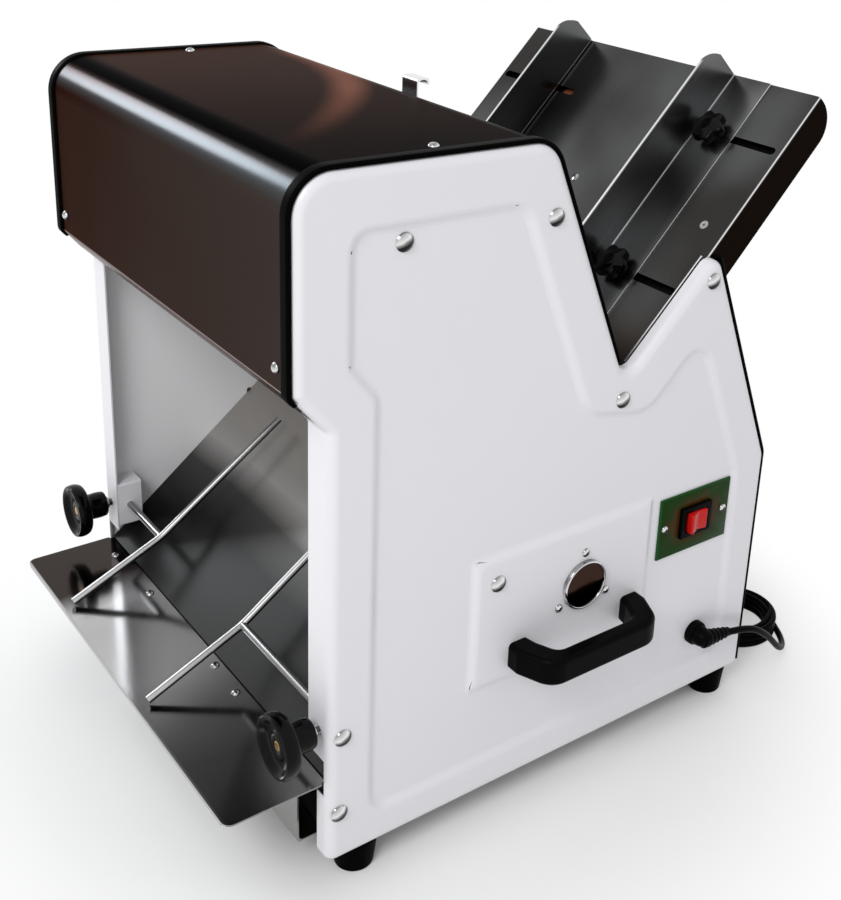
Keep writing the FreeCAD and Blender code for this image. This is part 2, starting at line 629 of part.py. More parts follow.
channels = []
for word, side, place in (("left", -1, v.rail_left), ("right", 1, v.rail_right)):
    x = side * place
    reach = v.guide_x + 12
    rail = pipe([(x, v.rail_high_y, v.rail_high_z), (x, v.rail_y, v.rail_z, 60),
                 (x, v.rail_low_y, v.rail_low_z)], v.rail_radius)
    cross = rod("rail_radius", f"{reach - place}", facing(side, place, v.rail_y, v.rail_z))
    keep(joined([rail, cross], "rail"), "outlet_rail_" + word)
    web = v.bracket_face
    bracket_top = v.bracket_low + v.bracket_height
    outline = [(web, v.bracket_low, 2), (v.plate_inner, v.bracket_low, 0),
               (v.plate_inner, bracket_top, 0), (web, bracket_top, 2)]
    thin = [(web + v.sheet, v.bracket_low + v.sheet, 0), (v.plate_inner + 1, v.bracket_low + v.sheet, 0),
            (v.plate_inner + 1, bracket_top - v.sheet, 0), (web + v.sheet, bracket_top - v.sheet, 0)]
    bracket_back = -v.lower_front - 1.6 - v.bracket_depth
    solids = [slab([(side * a, b, r) for a, b, r in shape], bracket_back - grow,
                   f"bracket_depth + {2 * grow}", 1, role="XZ_Plane", name="bracket")
              for shape, grow in ((outline, 0), (thin, 1))]
    hole = rod("rail_radius + running_gap", "10", facing(side, web - 4, v.rail_y, v.rail_z))
    channels.append(cut(solids[0], [solids[1], hole]))
    stud = v.clamp_stud
    hub = v.clamp_hub
    rim = v.clamp_radius
    knob = [(0, -38, 0), (hub - 5, -38, 0), (hub - 3, -36, 1), (rim - 7, -37, 3), (rim - 3, -44, 1.5),
            (rim, -42, 1.5), (rim, -28, 5), (hub, -26, 4), (hub - 1, -8, 3), (6, -7, 0), (6, -0.3, 0),
            (stud, -0.3, 0), (stud, 10.2, 0), (0, 10.2, 0)]
    keep(revolved(knob, turn(side * v.clamp_x, v.lower_front, v.rail_z, -90)), "clamp_knob_" + word)

keep(group(channels), "rail_brackets")

# ------------------------------------------------------- blades and drive

half_bar = v.bar_width / 2
frame_thick = v.frame_thickness
aside = v.guide_offset
low = -v.frame_low
high = frame_high
layer = v.rod_layer
for word, side, sign in (("a", -1, -1), ("b", 1, 1)):
    behind = sign * (frame_thick / 2 + v.frame_gap)
    wide = v.frame_half
    outer = [(-wide, low, 4), (wide, low, 4), (wide, high + half_bar, 4), (-wide, high + half_bar, 4)]
    inner = [(-wide + 8, low + v.bar_width, 2), (wide - 8, low + v.bar_width, 2),
             (wide - 8, high - half_bar, 2), (-wide + 8, high - half_bar, 2)]
    ring = [slab(shape, -behind - thick / 2, str(thick), 1, role="XZ_Plane", name="frame_ring")
            for shape, thick in ((outer, frame_thick), (inner, frame_thick + 4))]
    pin = rod("7", f"{layer + 6 - wide}", facing(side, wide, behind, low + half_bar))
    arms = []
    bores = []
    for other in (-1, 1):
        bores.append(rod("guide_radius + running_gap", "400", turn(other * v.guide_x, sign * aside, -60)))
        for place in (38, frame_high - 18):
            arms.append(rod("8", "24", turn(other * v.guide_x, sign * aside, place - 12)))
            arms.append(box(min(other * (wide - 1), other * v.guide_x), min(sign * 3, sign * aside), place - 8,
                            f"{v.guide_x - wide + 1}", "11", "16"))
    solid = joined([cut(ring[0], [ring[1]]), pin] + arms, "frame")
    keep(cut(solid, bores), "blade_frame_" + word, on_blades())
    count = 16 if word == "a" else 15
    first = -(count - 1) * v.blade_pitch
    blades = [box(first + 2 * v.blade_pitch * number - v.blade_thickness / 2, behind - v.blade_width / 2 + 1,
                  low + v.bar_width, "blade_thickness", "blade_width - 2",
                  f"{frame_high} + frame_low - 1.5 * bar_width") for number in range(count)]
    keep(group(blades), "blades_" + word, on_blades())

posts = []
brackets = []
for side in SIDES.values():
    for place in (-3, guide_high):
        block = box(min(side * (v.guide_x - 9), side * v.plate_inner), -21, place,
                    f"{v.plate_inner - v.guide_x + 9}", "42", "bracket_thickness")
        brackets.append(cut(block, [rod("guide_radius", "20", turn(side * v.guide_x, sign * aside, place - 4))
                                    for sign in (-1, 1)]))
    posts += [rod("guide_radius", f"{guide_high + 12}", turn(side * v.guide_x, sign * aside, -3))
              for sign in (-1, 1)]
keep(group(posts), "guide_rods", on_blades())
keep(group(brackets), "guide_brackets", on_blades())

crank_at = (v.crank_y, v.crank_z)
shaft = [rod("shaft_radius", "2 * rod_layer - 18", across(9 - v.rod_layer, *crank_at))]
for side in SIDES.values():
    shaft.append(rod("disc_radius", "6", facing(side, layer - 9, *crank_at)))
    away_y = side * v.crank_throw * math.sin(blade_lean)
    away_z = side * v.crank_throw * math.cos(blade_lean)
    shaft.append(rod("6", "2.5", facing(side, layer - 3, v.crank_y + away_y, v.crank_z + away_z)))
keep(joined(shaft, "crankshaft"), "crankshaft")
keep(cut(rod("pulley_radius", "16", across(-v.pulley_x - 8, *crank_at)),
         [rod("shaft_radius", "30", across(-v.pulley_x - 15, *crank_at))]), "crank_pulley")

beam_y = v.crank_y - 30
beam_z = v.crank_z - v.bearing_drop - v.beam_thickness
keep(box(-v.outlet_half, beam_y, beam_z, "2 * outlet_half", "60", "beam_thickness"), "bearing_beam")
bearings = []
for side in SIDES.values():
    bearing_low = side * v.bearing_x - 11
    block = box(bearing_low, v.crank_y - 19, v.crank_z - v.bearing_drop, "22", "38", "bearing_drop")
    top = rod("19", "22", across(bearing_low, *crank_at))
    bearings.append(cut(joined([block, top]), [rod("shaft_radius + running_gap", "30",
                                                   across(bearing_low - 4, *crank_at))]))
keep(group(bearings), "crank_bearings")

crank_reach = crank_drop
for word, side, sign in (("a", -1, -1), ("b", 1, 1)):
    behind = sign * (frame_thick / 2 + v.frame_gap)
    start = Vector(0, behind, low + half_bar)
    end = Vector(0, sign * v.crank_throw, -crank_reach)
    span = end - start
    angle = math.degrees(math.atan2(span.y, -span.z))
    bar = box(-3, -7, -span.Length, "6", "14", f"{span.Length}")
    rounds = [rod("11", "6", across(-3, 0, 0)), rod("11", "6", across(-3, 0, -span.Length))]
    holes = [rod("7 + running_gap", "12", across(-6, 0, 0)), rod("6.1", "12", across(-6, 0, -span.Length))]
    link = cut(joined([bar] + rounds), holes)
    at = on_blades(side * (layer + 3)).multiply(turn(0, behind, low + half_bar, angle))
    keep(link, "connecting_rod_" + word, at)

motor_at = (v.motor_y, v.motor_z)
keep(cut(rod("motor_radius", "motor_length", across(-75, *motor_at)),
         [rod("8 + running_gap", "20", across(-76, *motor_at))]), "motor")
small = v.pulley_radius / 1.5
keep(joined([rod(f"{small}", "16", across(-v.pulley_x - 8, *motor_at)),
             rod("8", f"{v.pulley_x - 60}", across(-v.pulley_x, *motor_at))], "rotor"), "motor_pulley")
cradle = []
for x in (-50, 84):
    block = box(x, v.motor_y - 46, v.sheet + 2, "12", "92", f"{v.motor_z - v.motor_radius / 2 - 3.5}")
    cradle.append(cut(block, [rod("motor_radius", "30", across(x - 5, *motor_at))]))
keep(group(cradle), "motor_mount")


def belt_outline(grow):
    """Around both pulleys, at a distance outside their rims, in (y, z)."""
    first = Vector(v.crank_y, v.crank_z, 0)
    second = Vector(v.motor_y, v.motor_z, 0)
    along = second - first
    reach = along.Length
    along.normalize()
    aside = Vector(-along.y, along.x, 0)
    lean = math.asin((v.pulley_radius - small) / reach)
    points = []
    for sign in (1, -1):
        normal = along * math.sin(lean) + aside * (sign * math.cos(lean))
        points.append((first + normal * (v.pulley_radius + grow), second + normal * (small + grow)))
    back = first - along * (v.pulley_radius + grow)
    front = second + along * (small + grow)
    (top_a, top_b), (low_a, low_b) = points
    return [Part.LineSegment(top_a, top_b), Part.Arc(top_b, front, low_b),
            Part.LineSegment(low_b, low_a), Part.Arc(low_a, back, top_a)]


belt = doc.addObject("PartDesign::Body", "belt")
plane = next(part for part in belt.Origin.OriginFeatures if part.Role == "YZ_Plane")
loop = belt.newObject("Sketcher::SketchObject", "belt_line")
loop.AttachmentSupport = [(plane, "")]
loop.MapMode = "FlatFace"
loop.AttachmentOffset = turn(z=-v.pulley_x - 6)
loop.addGeometry(belt_outline(0.15) + belt_outline(3.0), False)
pad = belt.newObject("PartDesign::Pad", "pad")
pad.Profile = loop
bind(pad, Length="12")
belt.Tip = pad
loop.Visibility = False
keep(belt, "drive_belt")
tie_places = [(60, v.step_high + 39), (60, v.body_height - 35), (v.body_depth - v.tie_edge, 40),
              (v.body_depth - 52, rear_bend_z), (250, 30)]
bars = [rod("tie_radius", "2 * plate_inner", across(-v.plate_inner, y, z)) for y, z in tie_places]
keep(group(bars), "tie_bars")

# -------------------------------------------------------- outer fittings

field_face = Part.Face(Part.Wire([edge.toShape() for edge in edges_of(press_outline())]))


def wall_at(y, z):
    """X of a side panel's outer face at (y, z): pressed in except at its rim and raised middle."""
    middle = v.raised_front < y < v.raised_back and v.raised_low < z < v.raised_high
    sunk = field_face.isInside(Vector(y, z, 0), 0.01, True) and not middle
    return v.half_width - v.press_depth if sunk else v.half_width


domes = []
caps = []
handles = []
pads = []
for word, side in SIDES.items():
    for y, z in SCREWS:
        short = y < 60
        domes.append(revolved(SHORT_DOME if short else DOME, facing(side, wall_at(y, z), y, z)))
    cap = [(0, -4, 0), (21.5, -4, 0), (21.5, 0, 0), (v.cap_radius, 0, 0), (v.cap_radius, v.cap_height - 1, 2),
           (v.cap_radius - 4, v.cap_height, 1), (v.cap_radius - 5, v.cap_height - 1.5, 0),
           (0, v.cap_height - 1.5, 0)]
    caps.append(revolved(cap, facing(side, v.half_width, v.crank_y, v.crank_z)))
    for angle in (90, -30, 210):
        y = v.crank_y + v.cap_screw_circle * math.cos(math.radians(angle))
        z = v.crank_z + v.cap_screw_circle * math.sin(math.radians(angle))
        fixings.append(revolved(SCREW_HEAD, facing(side, v.half_width, y, z)))
    out = v.half_width
    reach = out + v.handle_reach
    front = v.handle_front
    back = v.handle_back
    bow = [(out, front, 0), (out + 12, front, 4), (reach, front + 14, 22), (reach, back - 14, 22),
           (out + 12, back, 4), (out, back, 0), (out, back - 21, 0), (out + 10, back - 23, 6),
           (reach - v.handle_bar, back - 32, 10), (reach - v.handle_bar, front + 32, 10),
           (out + 10, front + 23, 6), (out, front + 21, 0)]
    handle = slab([(side * x, y, r) for x, y, r in bow], v.handle_low, "handle_tall", 1,
                  role="XY_Plane", name="handle")
    rounded = fillet(handle, lambda ends, edge: abs(ends[0].z - ends[-1].z) < 0.01
                     and min(abs(p.x) for p in ends) > out + 2, 4.5)
    handles.append(rounded)
    foot = [(0, -v.foot_height, 0), (v.foot_radius - 3, -v.foot_height, 2), (v.foot_radius, -4, 0),
            (v.foot_radius, 0, 0), (0, 0, 0)]
    pads += [revolved(foot, turn(side * v.foot_x, y, 0))
             for y in (v.foot_front_y, v.body_depth - v.foot_back)]
for pieces, name in ((domes, "panel_screws"), (caps, "bearing_caps"), (handles, "carry_handles"),
                     (pads, "feet")):
    keep(group(pieces), name)

COVER_SCREW = [(0, -1.4, 0), (2.2, -1.4, 0), (2.2, 0, 0), (4.6, 0, 0), (4.6, 0.9, 0.5), (2.4, 2.6, 2.4),
               (0, 2.8, 0)]
keep(group([revolved(COVER_SCREW, place) for place in cover_places]), "cover_screws")

switch_y = (v.switch_front + v.switch_back) / 2
switch_z = (v.switch_low + v.switch_high) / 2
face = pressed_face
plate = box(face, v.switch_front, v.switch_low, "2", "switch_back - switch_front", "switch_high - switch_low")
window = box(face - 2, switch_y - 15.3, switch_z - 12.3, "6", "30.6", "24.6")
keep(cut(plate, [window]), "switch_plate")
bezel = box(face + 2, switch_y - 20, switch_z - 16, "4", "40", "32")
shell = box(face - 26, switch_y - 15, switch_z - 12, "28", "30", "24")
hollow = box(face - 22, switch_y - 13.8, switch_z - 10.5, "40", "27.6", "21")
pivot_bore = rod("pivot_radius + running_gap", "2 * pivot_reach + 1",
                 turn(face, switch_y, switch_z - v.pivot_reach - 0.5))
keep(cut(joined([bezel, shell]), [hollow, pivot_bore]), "switch_housing")
button = slab([(face - 10, switch_y - 6, 2), (face + 6, switch_y - 11.6, 1), (face + 12.5, switch_y - 11, 2),
               (face + 7, switch_y + 1, 3), (face + 8.5, switch_y + 12.2, 1.5), (face + 3, switch_y + 12.2, 0),
               (face - 10, switch_y + 6, 2)],
              switch_z - 10.2, "20.4", 1, role="XY_Plane", name="button")
pivot = rod("pivot_radius", "2 * pivot_reach", turn(face, switch_y, switch_z - v.pivot_reach))
keep(joined([button, pivot], "rocker"), "rocker")
fixings += [revolved(SCREW_HEAD, facing(1, face + 2, y, switch_z))
            for y in (v.switch_front + 7.5, v.switch_back - 7.5)]
keep(group(fixings), "fixing_screws")

floor = v.cord_radius - v.foot_height
CORD_ROUTE = [
    (face + 15, v.gland_y + 2, v.gland_z - 1), (face + 19, v.gland_y + 58, v.gland_z - 21.4),
    (face + 19, v.gland_y + 104, floor + 27.5), (face + 5, v.gland_y + 156, floor),
]
first = Vector(*CORD_ROUTE[0])
leaving = Vector(*CORD_ROUTE[1]) - first
boot_at = FreeCAD.Placement(first, FreeCAD.Rotation(Vector(0, 0, 1), leaving))
nut = [(0, -8, 0), (7.5, -8, 0), (7.5, 0, 0), (v.gland_radius, 0, 0), (v.gland_radius, 6, 1),
       (10, 7, 0), (10, 22, 5), (0, 24, 0)]
boot = [(0, -4, 0), (9, -4, 0), (8.5, 10, 3), (5, 32, 0), (0, 32, 0)]
elbow = joined([revolved(nut, facing(1, face, v.gland_y, v.gland_z)), revolved(boot, boot_at)], "elbow")
keep(cut(elbow, [rod("cord_radius", "80", boot_at)]), "cable_gland")

# the lead lies against the coil's outermost turn where the drawn tube ends
last = Vector(*CORD_ROUTE[-1])
coil_middle = Vector(v.coil_x, v.coil_y, floor)
outward = last - coil_middle
swing = math.acos((v.coil_outer - v.cord_radius) / outward.Length) + math.atan2(outward.y, outward.x)
touch = coil_middle + Vector(math.cos(swing), math.sin(swing), 0) * (v.coil_outer - v.cord_radius)
arriving = touch - last
spare = math.sqrt((v.coil_outer + v.cord_radius + 0.1) ** 2 - (v.coil_outer - v.cord_radius) ** 2)
arriving.Length = arriving.Length - spare
CORD_ROUTE.append(tuple(last + arriving))
keep(pipe(CORD_ROUTE, v.cord_radius, "cord"), "power_cord")

wound = 4 * v.cord_radius
inner = v.coil_outer - wound
coil = [(inner, 0, 4), (v.coil_outer, 0, 4), (v.coil_outer, v.coil_height, 4), (inner, v.coil_height, 4)]
coil_at = turn(v.coil_x, v.coil_y, -v.foot_height)
keep(revolved(coil, coil_at), "cord_coil")
tie_out = box(inner - 2.5, -5, 0, f"{wound + 4.5}", "10", "coil_height + 2")
tie_in = box(inner - 0.5, -8, -1, f"{wound + 0.6}", "16", "coil_height + 1.1")
keep(cut(tie_out, [tie_in]), "cord_tie", coil_at.multiply(turn(tilt=250, about=(0, 0, 1))))
thick = v.plug_radius
plug = revolved([(0, 0, 0), (thick - 2, 0, 3), (thick, 10, 3), (thick, 28, 4), (9, 38, 6), (6.5, 52, 2),
                 (0, 52, 0)], turn())
pins = [rod("2.4", "19", turn(0, y, -19)) for y in (-9.5, 9.5)]

# the lead's end leaves the coil's outer turn here and runs straight into the plug
leaves = math.radians(135)
edge = Vector(v.coil_x, v.coil_y, 0)
edge += Vector(math.cos(leaves), math.sin(leaves), 0) * (v.coil_outer - v.cord_radius)
onward = Vector(-math.sin(leaves), math.cos(leaves), 0)
tail = edge + onward * v.plug_tail
front = tail + onward * 52
keep(joined([plug] + pins), "power_plug", FreeCAD.Placement(
    Vector(front.x, front.y, thick - v.foot_height), FreeCAD.Rotation(Vector(0, 0, 1), -onward)))

doc.recompute()
wrong = [piece.Label for piece in doc.Objects if {"Invalid", "Error"} & set(piece.State)]
assert not wrong, wrong
for piece in nodes:
    assert not piece.Shape.isNull() and piece.Shape.isValid(), piece.Label
    piece.Shape.exportStep(f"parts/{piece.Label}.step")
    bounds = piece.Shape.BoundBox
    print(piece.Label, len(piece.Shape.Solids), round(piece.Shape.Volume),
          [round(size) for size in (bounds.XMin, bounds.XMax, bounds.YMin, bounds.YMax, bounds.ZMin, bounds.ZMax)])
print(len(nodes), "pieces")
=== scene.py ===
# %% [markdown]
# # A bench-top bread slicer
# The slicer is a folded and painted steel body with a glossy brown cover, a tilted
# stainless chute for the loaf and a tray for the slices. The fixed frame holds every
# piece that has a size that matters. This script dresses it: it gives each piece its
# finish, and models again the pieces whose look needs softer shapes than a drawing has.

# %% Load the frame
import bpy
import bmesh
from math import radians, sin, cos, pi, sqrt, atan2
from mathutils import Vector, Matrix


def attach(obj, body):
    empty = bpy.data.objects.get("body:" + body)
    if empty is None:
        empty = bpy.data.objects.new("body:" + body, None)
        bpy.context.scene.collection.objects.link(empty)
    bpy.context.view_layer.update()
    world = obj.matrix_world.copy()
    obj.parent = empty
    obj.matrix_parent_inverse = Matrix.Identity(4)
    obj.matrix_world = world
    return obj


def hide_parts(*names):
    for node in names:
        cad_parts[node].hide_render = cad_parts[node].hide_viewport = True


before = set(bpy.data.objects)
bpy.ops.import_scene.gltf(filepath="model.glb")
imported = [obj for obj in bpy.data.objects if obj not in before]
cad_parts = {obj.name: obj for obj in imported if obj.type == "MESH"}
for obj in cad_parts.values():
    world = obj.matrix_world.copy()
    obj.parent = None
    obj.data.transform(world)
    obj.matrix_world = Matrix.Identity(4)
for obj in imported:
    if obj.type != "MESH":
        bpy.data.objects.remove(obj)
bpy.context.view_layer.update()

# %% [markdown]
# ## The machine's own lines
# The machine is drawn in millimetres, from the front of its side panels and from their
# lower edge. The frame's origin is on the worktop, under the middle of the machine, in
# metres. One small function takes a point from the first to the second. The sheets that
# slope have coordinates of their own, in which their details are simple to place.

# %% Machine coordinates
MIDDLE_Y = 259.2145  # from the panels' front back to the frame's origin
FOOT = 30.0  # from the worktop up to the panels' lower edge
WALL = 235.0  # from the middle to the panels' outer faces
FIELD = 231.0  # and to the field that is pressed into them
SIDES = {"left": -1, "right": 1}


def at(x, y, z):
    return Vector((x, y - MIDDLE_Y, z + FOOT)) / 1000


CHUTE_TILT = radians(46.5)
CHUTE_TOP = (561.9, 597.9)
UPPER_SLOT, LOWER_SLOT = -68.0, -232.0
OUTLET_TILT = radians(39.5)
OUTLET_EDGE = (33.0, 80.0)


def slope_matrix(tilt, edge, x=0.0, up=0.0, above=0.0):
    """A place on a sloping sheet: its Y runs up the slope and its Z stands off the sheet."""
    y = edge[0] + up * cos(tilt) - above * sin(tilt)
    z = edge[1] + up * sin(tilt) + above * cos(tilt)
    return Matrix.Translation(at(x, y, z)) @ Matrix.Rotation(tilt, 4, "X")


def on_chute(x=0.0, up=0.0, above=0.0):
    return slope_matrix(CHUTE_TILT, CHUTE_TOP, x, up, above)


def on_outlet(x=0.0, up=0.0, above=0.0):
    return slope_matrix(OUTLET_TILT, OUTLET_EDGE, x, up, above)


def facing(side, x, y, z):
    """A place on a side wall whose own Z axis points outwards."""
    return Matrix.Translation(at(side * x, y, z)) @ Matrix.Rotation(side * pi / 2, 4, "Y")


print("the chute's upper edge is at", tuple(round(value, 4) for value in at(0, *CHUTE_TOP)))

# %% [markdown]
# ## A pencil for materials
# A material is a tree of nodes. Written out one node at a time it is long, and the sums
# in it are hard to see. Two small classes help: one wraps a socket, so that ordinary sums
# add Math nodes, and the other is a finish, with one method that adds any node.

# %% Signals
class Signal:
    """A socket that sums are written with."""

    def __init__(self, finish, socket):
        self.finish = finish
        self.socket = socket

    def maths(self, operation, *values):
        sockets = dict(enumerate((self, *values)))
        return self.finish.node("ShaderNodeMath", {"operation": operation}, sockets)

    def __add__(self, other):
        return self.maths("ADD", other)

    def __sub__(self, other):
        return self.maths("SUBTRACT", other)

    def __rsub__(self, other):
        return (self * -1) + other

    def __mul__(self, other):
        return self.maths("MULTIPLY", other)

    __radd__ = __add__
    __rmul__ = __mul__

    def size(self):
        return self.maths("ABSOLUTE")

    def most(self, other):
        return self.maths("MAXIMUM", other)

    def step(self, low, high):
        """0 at low, 1 at high and smooth between."""
        settings = {"interpolation_type": "SMOOTHSTEP"}
        sockets = {"Value": self, "From Min": low, "From Max": high}
        return self.finish.node("ShaderNodeMapRange", settings, sockets)

    def band(self, middle, width):
        """1 on a line at middle, fading to 0 at width on both sides."""
        return 1 - (self - middle).size().step(0.0, width)


# %% Finishes
class Finish:
    """A material on a Principled shader."""

    def __init__(self, name, color, **values):
        self.material = bpy.data.materials.new(name)
        self.material.use_nodes = True
        self.tree = self.material.node_tree
        self.shader = self.tree.nodes["Principled BSDF"]
        self.put("Base Color", color)
        for key, value in values.items():
            self.put(key.replace("_", " ").title().replace("Ior", "IOR"), value)

    def put(self, name, value):
        self.join(self.shader.inputs[name], value)

    def join(self, socket, value):
        if isinstance(value, Signal):
            self.tree.links.new(value.socket, socket)
        elif isinstance(value, tuple) and len(value) == 3 and socket.type == "RGBA":
            socket.default_value = (*value, 1)
        else:
            socket.default_value = value

    def node(self, kind, settings=None, sockets=None, output=0):
        made = self.tree.nodes.new(kind)
        for name, value in (settings or {}).items():
            if name == "stops":
                self.set_stops(made.color_ramp.elements, value)
            else:
                setattr(made, name, value)
        for name, value in (sockets or {}).items():
            self.join(made.inputs[name], value)
        return Signal(self, made.outputs[output])

    def set_stops(self, elements, stops):
        elements.remove(elements[1])
        elements[0].position = stops[0][0]
        elements[0].color = (*stops[0][1], 1)
        for place, color in stops[1:]:
            elements.new(place).color = (*color, 1)

    def place(self, output="Object"):
        """The Object coordinates in metres, as a vector and as x, y and z."""
        whole = self.node("ShaderNodeTexCoord", output=output)
        parts = self.node("ShaderNodeSeparateXYZ", sockets={0: whole}).socket.node
        return whole, *(Signal(self, parts.outputs[axis]) for axis in "XYZ")

    def stretched(self, scale):
        sockets = {"Vector": self.place()[0], "Scale": scale}
        return self.node("ShaderNodeMapping", sockets=sockets)

    def noise(self, vector, scale, detail=2.0, roughness=0.5):
        sockets = {"Vector": vector, "Scale": scale, "Detail": detail, "Roughness": roughness}
        return self.node("ShaderNodeTexNoise", sockets=sockets)

    def mix(self, factor, low, high):
        """A colour between low and high."""
        settings = {"data_type": "RGBA"}
        return self.node("ShaderNodeMix", settings, {0: factor, 6: low, 7: high}, output=2)

    def ramp(self, factor, *stops):
        """A colour that runs through (place, colour) stops."""
        return self.node("ShaderNodeValToRGB", {"stops": stops}, {"Fac": factor})

    def bump(self, height, strength, distance):
        sockets = {"Height": height, "Strength": strength, "Distance": distance}
        self.put("Normal", self.node("ShaderNodeBump", sockets=sockets))

    def on_slope(self, tilt, edge):
        """x, the way up a sloping sheet and the height off it, all in millimetres."""
        whole, x, y, z = self.place()
        start = at(0, *edge)
        along_y = (y - start.y) * 1000
        along_z = (z - start.z) * 1000
        up = along_y * cos(tilt) + along_z * sin(tilt)
        above = along_z * cos(tilt) - along_y * sin(tilt)
        return whole, x * 1000, up, above

    def told(self):
        """Prints what was made, and gives the finish back."""
        print("finish", self.material.name, "with", len(self.tree.nodes), "nodes")
        return self


def grey(value, warmth=0.0):
    """A grey with a little more red and a little less blue when it is warm."""
    return (value * (1 + warmth), value, value * (1 - warmth))


# %% [markdown]
# ## White paint
# The body is painted in a semi-gloss white with a faint lilac cast. One flat colour would
# do, but a sprayed coat is never quite even: soft clouds change its tint and a fine orange
# peel breaks its reflections. Lower down the colour is darker, as painted shade.
# Noise gives both on a piece of any size, with no picture to wrap round it.

# %% Paint
def painted(name, color, roughness, coat):
    finish = Finish(name, color, roughness=roughness, coat_weight=coat, coat_roughness=0.12)
    whole, x, y, z = finish.place()
    cloud = finish.noise(whole, 3.0, 1.0)
    low = tuple(channel * 0.95 for channel in color)
    upper = finish.mix(cloud, low, color)
    # painted shade: the colour darkens towards the bottom of the body
    painted_lower_shade = tuple(channel * 0.93 for channel in color)
    finish.put("Base Color", finish.mix(z.step(0.45, 0.02), upper, painted_lower_shade))
    finish.put("Roughness", roughness + cloud * 0.08)
    finish.bump(finish.noise(whole, 500.0, 1.0), 0.02, 0.0004)
    return finish.told()


white_paint = painted("white paint", (0.80, 0.79, 0.83), 0.34, 0.2)
# painted light: the inner walls get little light, so their paint is lighter than the outer white
lightened_inner_paint = painted("inner paint lightened", (0.93, 0.93, 0.95), 0.3, 0.1)
motor_enamel = painted("motor enamel", (0.18, 0.2, 0.22), 0.4, 0.1)

# %% [markdown]
# ## The brown cover
# The cover is stainless sheet with a dark bronze film. A brown paint would be simpler, but
# the front reflects like metal, so there it is a metal with a very dark tint. The top is
# seen at a low angle, at which any metal turns white, so there it is a lacquer that hardly
# reflects. Its tones are painted light: the front darkens towards the left as painted
# reflection, a bluish band along the bend is a painted highlight, a black band on the top
# just behind the bend is a painted dark reflection, and a thin pale line along the lower edge
# is a painted highlight. The top is redder, darkens towards the right as painted reflection,
# and a soft copper streak runs over it as a painted reflection.

# %% Bronze film
BEND_HIGHLIGHT = 0.6125
HEM_HEIGHT = 0.4611


def bronze_film():
    finish = Finish("bronze film", (0.03, 0.02, 0.016), metallic=1.0, roughness=0.2,
                    specular_tint=(0.5, 0.45, 0.43, 1), specular_ior_level=0.001)
    whole, x, y, z = finish.place()
    wave = finish.noise(whole, 5.0, 2.0)
    along = (x + (wave - 0.5) * 0.12) * 2.2 + 0.5
    # painted reflection: the front darkens towards the left
    front = finish.ramp(along, (0.0, (0.016, 0.009, 0.011)), (0.5, (0.040, 0.036, 0.035)),
                        (1.0, (0.052, 0.046, 0.044)))
    # painted highlight: a bluish band along the bend, where the front left lamp reflects
    painted_bend_highlight = z.band(BEND_HIGHLIGHT, 0.0135)
    front = finish.mix(painted_bend_highlight, front, (0.066, 0.077, 0.085))
    # painted highlight: a thin pale line along the lower edge of the front
    hem_highlight = z.band(HEM_HEIGHT, 0.0012) * y.step(-0.2585, -0.2597)
    front = finish.mix(hem_highlight, front, (0.62, 0.50, 0.48))
    # painted reflection: the top darkens towards the right
    top = finish.ramp(along, (0.0, (0.035, 0.0125, 0.006)), (0.45, (0.020, 0.0075, 0.0045)),
                      (1.0, (0.004, 0.002, 0.0015)))
    # the painted reflection streak bends from the far rear corner of the top towards its near
    # front one
    start = at(-150, 225, 0)
    bend = (y - start.y) * -1 + (x - start.x) * (x - start.x) * -1.9
    painted_reflection_streak = bend.band(0.0, 0.030) * x.step(0.17, -0.02) * x.step(-0.2, -0.15)
    top = finish.mix(painted_reflection_streak * (0.4 + wave * 0.8), top, (0.22, 0.085, 0.055))
    # painted dark reflection: a black band on the top just behind the bend
    top = finish.mix(y.step(-0.236, -0.216), grey(0.0012), top)
    on_top = z.step(0.6185, 0.6225)
    finish.put("Base Color", finish.mix(on_top, front, top))
    finish.put("Metallic", 1 - on_top)
    finish.put("Roughness", 0.19 + wave * 0.07)
    finish.bump(finish.noise(whole, 260.0, 1.0), 0.01, 0.0003)
    return finish.told()


bronze = bronze_film()

# %% [markdown]
# ## Brushed and polished metal
# Sheet metal for food is ground with a belt, which leaves fine lines along one direction.
# An anisotropic shader could show them, but baked materials lose it. Here they are noise
# that is stretched along the grain: it tints the metal a little and roughens it a little,
# and a shallow bump breaks the reflections across the grain.

# %% Brushed metal
def brushed(name, color, roughness, scale, depth=0.05):
    finish = Finish(name, color, metallic=1.0, roughness=roughness)
    grain = finish.noise(finish.stretched(scale), 1.0, 3.0, 0.6)
    low = tuple(channel * 0.86 for channel in color)
    finish.put("Base Color", finish.mix(grain, low, color))
    finish.put("Roughness", roughness - 0.05 + grain * 0.1)
    finish.bump(grain, depth, 0.0002)
    return finish.told()


machined = brushed("machined steel", grey(0.40), 0.32, (900, 60, 60))
blade_steel = brushed("blade steel", grey(0.6), 0.22, (600, 600, 30))
cast = brushed("cast iron", grey(0.2), 0.5, (300, 300, 300), depth=0.2)
brass = brushed("brass insert", (0.55, 0.34, 0.12), 0.25, (300, 300, 300))

# %% [markdown]
# ## Bright plating
# Bright plating shows its surroundings as light above, a dark line at the horizon and a
# paler floor. In an empty white room a mirror looks like white paint. Real objects could
# stand around the machine to be mirrored, but a tint that follows the surface's own
# direction gives the same dark line, and stays with the part in any other scene.

